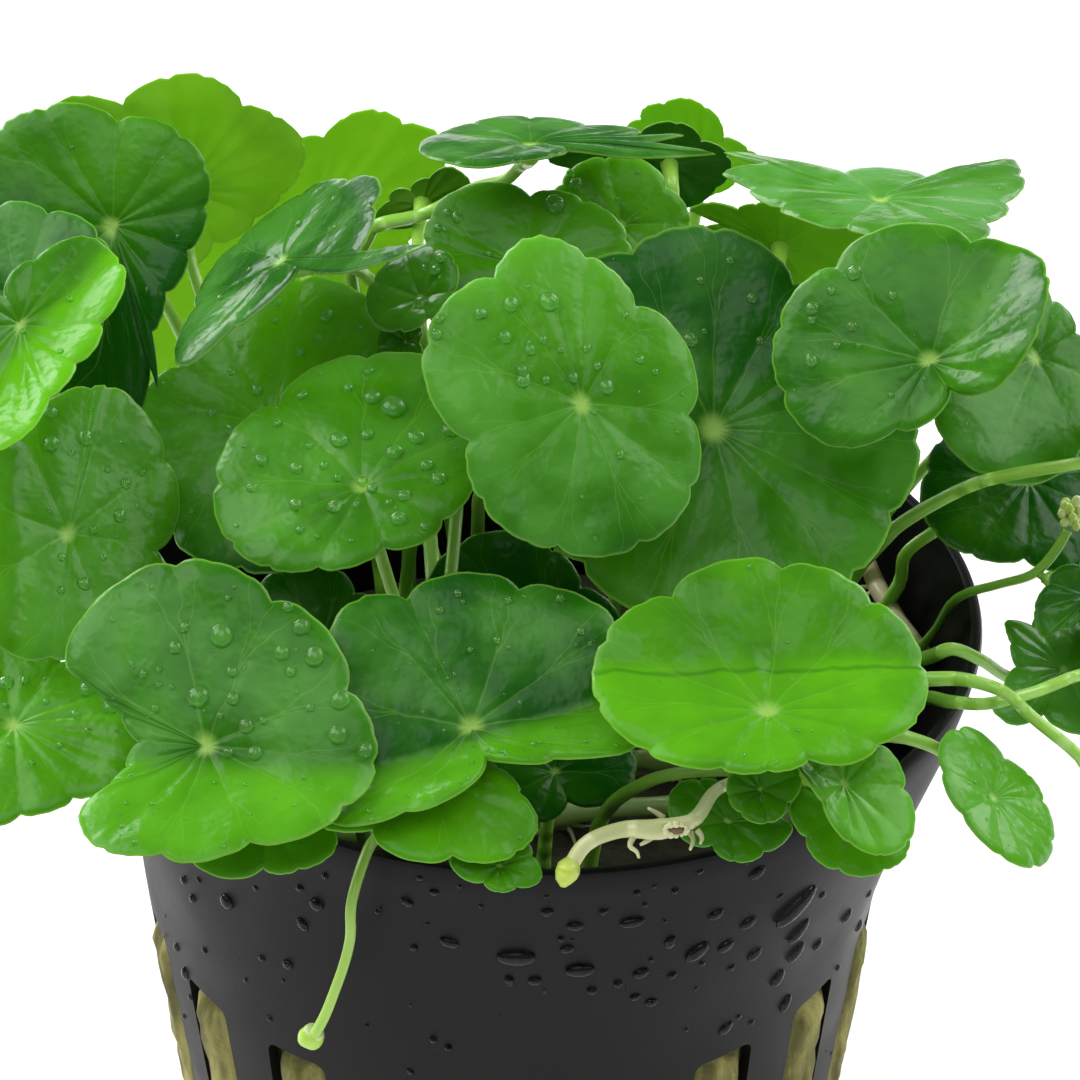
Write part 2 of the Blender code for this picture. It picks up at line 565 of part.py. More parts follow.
def push_rim(point):
    """The soft rim is pushed out to the right by the stems that hang over it."""
    share = (point.z - POT_SHOULDER_HEIGHT) / (POT_HEIGHT - POT_SHOULDER_HEIGHT)
    share = max(0, min(1, share))
    share = share * share * (3 - 2 * share)
    point.x = point.x * (1 + RIM_STRETCH * share) + RIM_PUSH * share


def slot_cutter(collection, paint):
    """One box for each slot, in one cutter."""
    shape = bmesh.new()
    reach = 8 * MM
    middle = (wall_radius(SLOT_BOTTOM) + wall_radius(SLOT_TOP)) / 2
    for index in range(SLOT_COUNT):
        for side in (-1, 1):
            angle = side * math.radians(SLOT_FIRST + index * SLOT_STEP)
            turn = Matrix.Rotation(angle, 4, "Z")
            place = Matrix.Translation((0, -middle, (SLOT_TOP + SLOT_BOTTOM) / 2))
            size = Matrix.Diagonal((SLOT_WIDTH, reach, SLOT_TOP - SLOT_BOTTOM, 1))
            bmesh.ops.create_cube(shape, size=1, matrix=turn @ place @ size)
    mesh = bpy.data.meshes.new("slots")
    shape.to_mesh(mesh)
    shape.free()
    cutter = add_object("slots", mesh, paint, collection)
    cutter.hide_render = True
    cutter.display_type = "WIRE"
    return cutter


def build_pot(paint, collection, cutters):
    """The turned net pot, its rim pushed out of round, with its slots cut."""
    band = (POT_SHOULDER_HEIGHT + POT_HEIGHT) / 2
    profile = [
        (0, POT_FLOOR),
        (wall_radius(POT_FLOOR) - POT_WALL, POT_FLOOR),
        (wall_radius(POT_SHOULDER_HEIGHT) - POT_WALL, POT_SHOULDER_HEIGHT),
        (wall_radius(band) - POT_WALL, band),
        (POT_RIM_RADIUS - POT_WALL, POT_HEIGHT),
        (POT_RIM_RADIUS, POT_HEIGHT),
        (wall_radius(band), band),
        (POT_SHOULDER_RADIUS, POT_SHOULDER_HEIGHT),
        (POT_BASE_RADIUS, 0),
        (0, 0),
    ]
    shape = bmesh.new()
    corners = [shape.verts.new((radius, 0, height)) for radius, height in profile]
    for start, end in zip(corners, corners[1:]):
        shape.edges.new((start, end))
    mesh = bpy.data.meshes.new("profile")
    shape.to_mesh(mesh)
    shape.free()
    pot = add_object("net_pot", mesh, paint, collection)
    turned = pot.modifiers.new("turned", "SCREW")
    turned.steps = POT_SEGMENTS
    turned.render_steps = POT_SEGMENTS
    turned.use_merge_vertices = True
    turned.merge_threshold = 0.00001
    pot = as_mesh(pot, paint, collection)
    for vert in pot.data.vertices:
        push_rim(vert.co)
    slots = pot.modifiers.new("slots", "BOOLEAN")
    slots.operation = "DIFFERENCE"
    slots.object = slot_cutter(cutters, paint)


def build_plug(paint, collection):
    """The rockwool plug that fills the pot to below the rim."""
    bottom = POT_FLOOR + TOUCH_GAP
    shape = bmesh.new()
    bmesh.ops.create_cone(
        shape, cap_ends=True, segments=PLUG_SEGMENTS, depth=PLUG_TOP - bottom,
        radius1=wall_radius(bottom) - POT_WALL - PLUG_GAP,
        radius2=wall_radius(POT_SHOULDER_HEIGHT) - POT_WALL + PLUG_GAP,
        matrix=Matrix.Translation((0, 0, (PLUG_TOP + bottom) / 2)))
    mesh = bpy.data.meshes.new("rockwool_plug")
    shape.to_mesh(mesh)
    shape.free()
    add_object("rockwool_plug", mesh, paint, collection)


def build_runners(paint, collection):
    """The creeping stems that lie on the rockwool."""
    for name, runner in RUNNERS.items():
        tube(name, smooth_path(runner_points(runner), 2), RUNNER_RADIUS, paint, collection)


def build_shoots(green, pale, collection):
    """The hanging shoot, the broken runner and the flower stem, each along what the photograph shows."""
    for name, shoot in SHOOTS.items():
        points = [Vector(point) * MM for point in shoot["inside"]]
        for across, down, height in shoot["seen"]:
            points.append(sight((across, down), height * MM))
        path = smooth_path(points, 2)
        swell = []
        for index in range(len(path)):
            place = index / (len(path) - 1) * (len(shoot["swell"]) - 1)
            low = min(int(place), len(shoot["swell"]) - 2)
            swell.append(shoot["swell"][low] * (1 - place + low) + shoot["swell"][low + 1] * (place - low))
        paint = pale if shoot["pale"] else green
        tube(name, path, shoot["radius"] * MM, paint, collection, taper=swell)


def main():
    """Clear the scene and build every piece."""
    for thing in list(bpy.data.objects):
        bpy.data.objects.remove(thing)
    plant = bpy.data.collections.new("Whorled pennywort")
    cutters = bpy.data.collections.new("Cutters")
    bpy.context.scene.collection.children.link(plant)
    bpy.context.scene.collection.children.link(cutters)
    black = material("Black plastic", (0.02, 0.02, 0.022), 0.4)
    wool = material("Rockwool", (0.24, 0.21, 0.08), 0.95)
    green = material("Leaf green", (0.1, 0.36, 0.03), 0.4)
    stem = material("Stem green", (0.3, 0.45, 0.14), 0.45)
    pale = material("Pale stem", (0.62, 0.62, 0.35), 0.5)
    build_pot(black, plant, cutters)
    build_plug(wool, plant)
    build_runners(stem, plant)
    build_shoots(stem, pale, plant)
    for name, leaf in LEAVES.items():
        build_leaf(name, leaf, green, plant, cutters)


main()
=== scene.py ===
import bisect
import math
import random
import bmesh
import bpy
from mathutils import Matrix, Vector, noise


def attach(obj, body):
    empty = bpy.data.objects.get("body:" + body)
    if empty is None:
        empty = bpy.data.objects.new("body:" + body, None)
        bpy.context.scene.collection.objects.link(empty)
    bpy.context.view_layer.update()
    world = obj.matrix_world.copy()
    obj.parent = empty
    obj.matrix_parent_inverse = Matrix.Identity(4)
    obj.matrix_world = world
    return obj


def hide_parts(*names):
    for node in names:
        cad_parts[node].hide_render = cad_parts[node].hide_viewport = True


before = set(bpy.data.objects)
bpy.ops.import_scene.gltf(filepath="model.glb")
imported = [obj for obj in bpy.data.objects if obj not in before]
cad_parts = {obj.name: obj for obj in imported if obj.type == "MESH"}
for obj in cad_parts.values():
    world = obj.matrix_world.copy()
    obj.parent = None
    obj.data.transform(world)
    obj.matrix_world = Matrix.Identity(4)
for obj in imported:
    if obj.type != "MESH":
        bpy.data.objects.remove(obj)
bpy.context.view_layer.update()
mm = 0.001
print("frame loaded:", len(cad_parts), "nodes")

# The photograph's camera, which also places every leaf by where it is seen. focal and middle: pixels of 1080
view = dict(rise=36, distance=0.35, focal=5830, middle=540, imageSize=1080, target=(0.0018, 0, 0.0555))


def viewAxes():
    rise = math.radians(view["rise"])
    right = Vector((1, 0, 0))
    up = Vector((0, math.sin(rise), math.cos(rise)))
    back = Vector((0, -math.cos(rise), math.sin(rise)))
    return right, up, back


def seenPixel(point):
    right, up, back = viewAxes()
    offset = point - Vector(view["target"])
    away = view["distance"] - offset.dot(back)
    return Vector((view["middle"] + view["focal"] * offset.dot(right) / away,
                   view["middle"] - view["focal"] * offset.dot(up) / away))


def sightPoint(pixel, height):  # the point at this height, in mm, that the picture shows at the pixel
    right, up, back = viewAxes()
    eye = Vector(view["target"]) + back * view["distance"]
    ray = (pixel[0] - view["middle"]) * right - (pixel[1] - view["middle"]) * up - view["focal"] * back
    return eye + ray * ((height * mm - eye.z) / ray.z)


def makeCamera():
    right, up, back = viewAxes()
    lens = bpy.data.cameras.new("camera")
    lens.sensor_width = 36
    lens.lens = view["focal"] / view["imageSize"] * lens.sensor_width
    lens.clip_start = 0.01
    camera = bpy.data.objects.new("camera", lens)
    camera.matrix_world = Matrix((right, up, back)).transposed().to_4x4()
    camera.location = Vector(view["target"]) + back * view["distance"]
    bpy.context.scene.collection.objects.link(camera)
    bpy.context.scene.camera = camera


makeCamera()
print("camera placed")

# Materials are built from these few helpers


def newMaterial(name):
    paint = bpy.data.materials.new(name)
    paint.use_nodes = True
    tree = paint.node_tree
    return paint, tree, tree.nodes["Principled BSDF"]


def plug(tree, value, socket):  # a link where the value comes from a node, or else the number itself
    if isinstance(value, bpy.types.NodeSocket):
        tree.links.new(value, socket)
    else:
        socket.default_value = value


def mathNode(tree, operation, *values):
    node = tree.nodes.new("ShaderNodeMath")
    node.operation = operation
    for value, socket in zip(values, node.inputs):
        plug(tree, value, socket)
    return node.outputs[0]


def addNode(tree, first, second):
    return mathNode(tree, "ADD", first, second)


def lessNode(tree, first, second):
    return mathNode(tree, "SUBTRACT", first, second)


def timesNode(tree, first, second):
    return mathNode(tree, "MULTIPLY", first, second)


def clampNode(tree, value, high):  # kept between 0 and high
    return mathNode(tree, "MINIMUM", mathNode(tree, "MAXIMUM", value, 0), high)


def fadeNode(tree, value, low, high, toLow=0.0, toHigh=1.0):  # a smooth step
    node = tree.nodes.new("ShaderNodeMapRange")
    node.interpolation_type = "SMOOTHSTEP"
    for socket, number in zip(node.inputs, (value, low, high, toLow, toHigh)):
        plug(tree, number, socket)
    return node.outputs[0]


def mixNode(tree, share, first, second):
    node = tree.nodes.new("ShaderNodeMix")
    node.data_type = "RGBA"
    plug(tree, share, node.inputs["Factor"])
    for color, socket in ((first, node.inputs[6]), (second, node.inputs[7])):
        plug(tree, (*color, 1) if isinstance(color, tuple) else color, socket)
    return node.outputs[2]


def noiseNode(tree, scale, detail, stretch=None):
    node = tree.nodes.new("ShaderNodeTexNoise")
    node.inputs["Scale"].default_value = scale
    node.inputs["Detail"].default_value = detail
    place = tree.nodes.new("ShaderNodeTexCoord").outputs["Object"]
    if stretch:
        mapping = tree.nodes.new("ShaderNodeMapping")
        mapping.inputs["Scale"].default_value = stretch
        tree.links.new(place, mapping.inputs["Vector"])
        place = mapping.outputs["Vector"]
    tree.links.new(place, node.inputs["Vector"])
    return node.outputs["Fac"]


def attributeNode(tree, name):
    node = tree.nodes.new("ShaderNodeAttribute")
    node.attribute_name = name
    return node.outputs["Fac"]


def bumpNode(tree, height, strength, distance, shader):
    node = tree.nodes.new("ShaderNodeBump")
    node.inputs["Strength"].default_value = strength
    node.inputs["Distance"].default_value = distance
    tree.links.new(height, node.inputs["Height"])
    tree.links.new(node.outputs["Normal"], shader.inputs["Normal"])


# In the leaf colours, the grey-green sheen and the bright underside glow are painted light.
leafPaint = dict(
    deep=(0.006, 0.084, 0.002), bright=(0.098, 0.39, 0.003), paintedSheen=(0.085, 0.28, 0.055),
    pale=(0.31, 0.54, 0.10), edge=(0.25, 0.55, 0.06), under=(0.024, 0.14, 0.005),
    paintedGlowUnder=(0.25, 0.47, 0.02), glow=(0.52, 0.96, 0.03), mottleScale=210, mottle=0.9, waverScale=480,
    veinWaver=0.22, creaseShadeWaver=1.1, forkFrom=0.5, forkSpread=0.55, veinReach=1.35, veinHalf=0.012,
    veinMix=0.12, roughness=0.24, specular=0.2, underRoughness=0.5, underSpecular=0.1, waveScale=290,
    grainScale=1700, grain=0.12, bump=0.8, bumpDepth=0.0004, thin=0.28, thinUnder=0.45)


def veinLines(tree, lobe, out, waver):  # one vein to each lobe, forked on its way out; 0 away from a vein
    look = leafPaint
    turned = addNode(tree, addNode(tree, lobe, timesNode(tree, waver, look["veinWaver"])), 0.5)
    away = mathNode(tree, "ABSOLUTE", lessNode(tree, mathNode(tree, "FRACT", turned), 0.5))
    past = mathNode(tree, "MAXIMUM", lessNode(tree, out, look["forkFrom"]), 0)
    branch = mathNode(tree, "ABSOLUTE", lessNode(tree, away, timesNode(tree, past, look["forkSpread"])))
    nearest = timesNode(tree, mathNode(tree, "MINIMUM", away, branch), out)
    half = timesNode(tree, lessNode(tree, look["veinReach"], out), look["veinHalf"])
    return fadeNode(tree, nearest, timesNode(tree, half, 0.3), half, look["veinMix"], 0)


def leafMaterial(name, upper, through):  # through: share of the light that passes through the blade
    paint, tree, shader = newMaterial(name)
    look = leafPaint

    def shade(key):  # as much brighter as light is lost to the far side
        return tuple(min(1, channel / (1 - through)) for channel in look[key])

    place = tree.nodes.new("ShaderNodeUVMap")
    place.uv_map = "blade"
    split = tree.nodes.new("ShaderNodeSeparateXYZ")
    tree.links.new(place.outputs[0], split.inputs[0])
    lobe, out = split.outputs[0], split.outputs[1]  # lobes round the blade, and 0 to 1 from its middle out
    mottle = lessNode(tree, noiseNode(tree, look["mottleScale"], 3), 0.5)
    waver = lessNode(tree, noiseNode(tree, look["waverScale"], 1), 0.5)
    vein = veinLines(tree, lobe, out, waver)
    tone = addNode(tree, attributeNode(tree, "tone"), timesNode(tree, mottle, look["mottle"]))
    tone = clampNode(tree, tone, 1)
    if upper:
        # the tone carries painted light and shade from how each part of the blade faces
        color = mixNode(tree, tone, shade("deep"), shade("bright"))
        paintedSheenPatch = fadeNode(tree, mottle, -0.07, 0.09, 0.15, 1.9)  # the painted sheen comes in patches
        sheen = clampNode(tree, timesNode(tree, attributeNode(tree, "paintedSheen"), paintedSheenPatch), 0.9)
        color = mixNode(tree, sheen, color, shade("paintedSheen"))
        # painted shade: a dark line along the fold of some blades
        line = addNode(tree, attributeNode(tree, "crease"), timesNode(tree, waver, look["creaseShadeWaver"]))
        crease = fadeNode(tree, mathNode(tree, "ABSOLUTE", line), 0.02, 0.28, 0.4, 0)
        color = mixNode(tree, crease, color, shade("deep"))
    else:
        # painted light: the bright end of the underside colour stands for light shining through from behind
        color = mixNode(tree, tone, shade("under"), shade("paintedGlowUnder"))
    color = mixNode(tree, vein, color, shade("pale"))
    color = mixNode(tree, fadeNode(tree, out, 0.02, 0.1, 0.8, 0), color, shade("pale"))
    color = mixNode(tree, fadeNode(tree, out, 0.978, 0.997, 0, 0.4), color, shade("edge"))
    tree.links.new(color, shader.inputs["Base Color"])
    shader.inputs["Roughness"].default_value = look["roughness"] if upper else look["underRoughness"]
    shader.inputs["Specular IOR Level"].default_value = look["specular"] if upper else look["underSpecular"]
    grain = timesNode(tree, noiseNode(tree, look["grainScale"], 1), look["grain"])
    relief = addNode(tree, noiseNode(tree, look["waveScale"], 3), grain)
    bumpNode(tree, relief, look["bump"], look["bumpDepth"], shader)
    if through:
        letThrough(tree, shader, color, through)
    return paint


def letThrough(tree, shader, color, through):  # light from behind glows through a thin blade
    glow = tree.nodes.new("ShaderNodeBsdfTranslucent")
    tree.links.new(mixNode(tree, 0.5, color, leafPaint["glow"]), glow.inputs["Color"])
    both = tree.nodes.new("ShaderNodeMixShader")
    both.inputs[0].default_value = through
    tree.links.new(shader.outputs[0], both.inputs[1])
    tree.links.new(glow.outputs[0], both.inputs[2])
    tree.links.new(both.outputs[0], tree.nodes["Material Output"].inputs["Surface"])


stemPaint = dict(green=(0.16, 0.42, 0.03), lime=(0.42, 0.74, 0.10), cream=(0.66, 0.66, 0.38),
                 brown=(0.13, 0.07, 0.025), streak=0.35, coat=0.3, coatRoughness=0.15)


def stemMaterial(name, first, second, roughness=0.38):  # the attribute tone takes the first to the second
    paint, tree, shader = newMaterial(name)
    streaks = noiseNode(tree, 900, 3, stretch=(1, 1, 0.25))
    streak = timesNode(tree, lessNode(tree, streaks, 0.5), stemPaint["streak"])
    tone = clampNode(tree, addNode(tree, attributeNode(tree, "tone"), streak), 1)
    tree.links.new(mixNode(tree, tone, first, second), shader.inputs["Base Color"])
    plug(tree, addNode(tree, timesNode(tree, streaks, 0.2), roughness - 0.1), shader.inputs["Roughness"])
    shader.inputs["Coat Weight"].default_value = stemPaint["coat"]
    shader.inputs["Coat Roughness"].default_value = stemPaint["coatRoughness"]
    bumpNode(tree, streaks, 0.25, 0.0001, shader)
    return paint


potPaint = dict(clean=(0.003, 0.003, 0.0032), dusty=(0.008, 0.008, 0.008), specular=0.14)


def potMaterial():
    paint, tree, shader = newMaterial("softBlackPlastic")
    dust = noiseNode(tree, 90, 3)
    grain = noiseNode(tree, 2600, 2)
    color = mixNode(tree, fadeNode(tree, dust, 0.4, 0.75), potPaint["clean"], potPaint["dusty"])
    shader.inputs["Specular IOR Level"].default_value = potPaint["specular"]
    tree.links.new(color, shader.inputs["Base Color"])
    plug(tree, fadeNode(tree, dust, 0.3, 0.7, 0.34, 0.5), shader.inputs["Roughness"])
    bumpNode(tree, grain, 0.18, 0.00005, shader)
    return paint


woolPaint = dict(dark=(0.10, 0.085, 0.018), light=(0.36, 0.33, 0.10), stain=(0.10, 0.115, 0.02),
                 shaded=(0.010, 0.009, 0.006), shadeFrom=0.033, shadeTo=0.0365, roughness=0.85)


def woolMaterial():  # fibres, stained green, and in deep shade at the top
    look = woolPaint
    paint, tree, shader = newMaterial("rockwoolFibres")
    strands = noiseNode(tree, 700, 6, stretch=(1, 1, 0.22))
    crossed = noiseNode(tree, 900, 5, stretch=(0.2, 1, 1))
    stain = noiseNode(tree, 120, 3)
    color = mixNode(tree, fadeNode(tree, strands, 0.35, 0.65), look["dark"], look["light"])
    color = mixNode(tree, fadeNode(tree, stain, 0.45, 0.7, 0, 0.55), color, look["stain"])
    place = tree.nodes.new("ShaderNodeSeparateXYZ")
    tree.links.new(tree.nodes.new("ShaderNodeTexCoord").outputs["Object"], place.inputs[0])
    shaded = fadeNode(tree, place.outputs[2], look["shadeFrom"], look["shadeTo"], 0, 0.93)
    color = mixNode(tree, shaded, color, look["shaded"])
    tree.links.new(color, shader.inputs["Base Color"])
    shader.inputs["Roughness"].default_value = look["roughness"]
    bumpNode(tree, addNode(tree, strands, crossed), 0.9, 0.0006, shader)
    return paint


water = dict(tint=(0.5, 0.95, 0.26), clear=0.92, bend=1.22, shine=0.45)  # a drop on a leaf
potWater = dict(tint=(0.15, 0.15, 0.155), clear=1, bend=1.2, shine=0.25)  # a drop on the black wall, tinted dark as painted shade where it hides the wall's sheen


def waterMaterial(name, tint, clear, bend, shine):
    paint, tree, shader = newMaterial(name)
    film = noiseNode(tree, 1500, 1)
    plug(tree, timesNode(tree, film, 0.02), shader.inputs["Roughness"])
    shader.inputs["Base Color"].default_value = (*tint, 1)
    shader.inputs["Transmission Weight"].default_value = clear
    shader.inputs["IOR"].default_value = bend
    shader.inputs["Coat Weight"].default_value = shine
    shader.inputs["Coat Roughness"].default_value = 0.03
    return paint


paints = dict(
    upper=leafMaterial("leafUpperSide", True, 0), lower=leafMaterial("leafUnderside", False, 0),
    thinUpper=leafMaterial("thinLeafUpperSide", True, leafPaint["thin"]),
    thinLower=leafMaterial("thinLeafUnderside", False, leafPaint["thinUnder"]),
    stalk=stemMaterial("leafStalk", stemPaint["green"], stemPaint["lime"]),
    runner=stemMaterial("creepingStem", stemPaint["green"], stemPaint["cream"]),
    shoot=stemMaterial("youngShoot", (0.24, 0.46, 0.07), (0.54, 0.86, 0.16)),
    cream=stemMaterial("paleRunner", stemPaint["cream"], (0.52, 0.68, 0.06)),
    root=stemMaterial("root", (0.30, 0.24, 0.12), stemPaint["cream"], 0.6),
    hollow=stemMaterial("brownHollow", stemPaint["brown"], (0.25, 0.15, 0.06), 0.7),
    bud=stemMaterial("bud", (0.42, 0.72, 0.03), (0.66, 0.82, 0.34)),
    flower=stemMaterial("flowerBud", (0.52, 0.72, 0.10), (0.86, 0.90, 0.40)),
    pot=potMaterial(), wool=woolMaterial(),
    water=waterMaterial("clearWater", **water), darkWater=waterMaterial("waterOnBlack", **potWater))
print("materials ready:", len(paints))


# Leaves. seen: where the stalk meets the blade, in pixels. height: mm above the table. faces: heading (0
# front, 90 right) and rise of the upper side. margin: its notches in pixels. folds: direction, distance in
# radii, angle

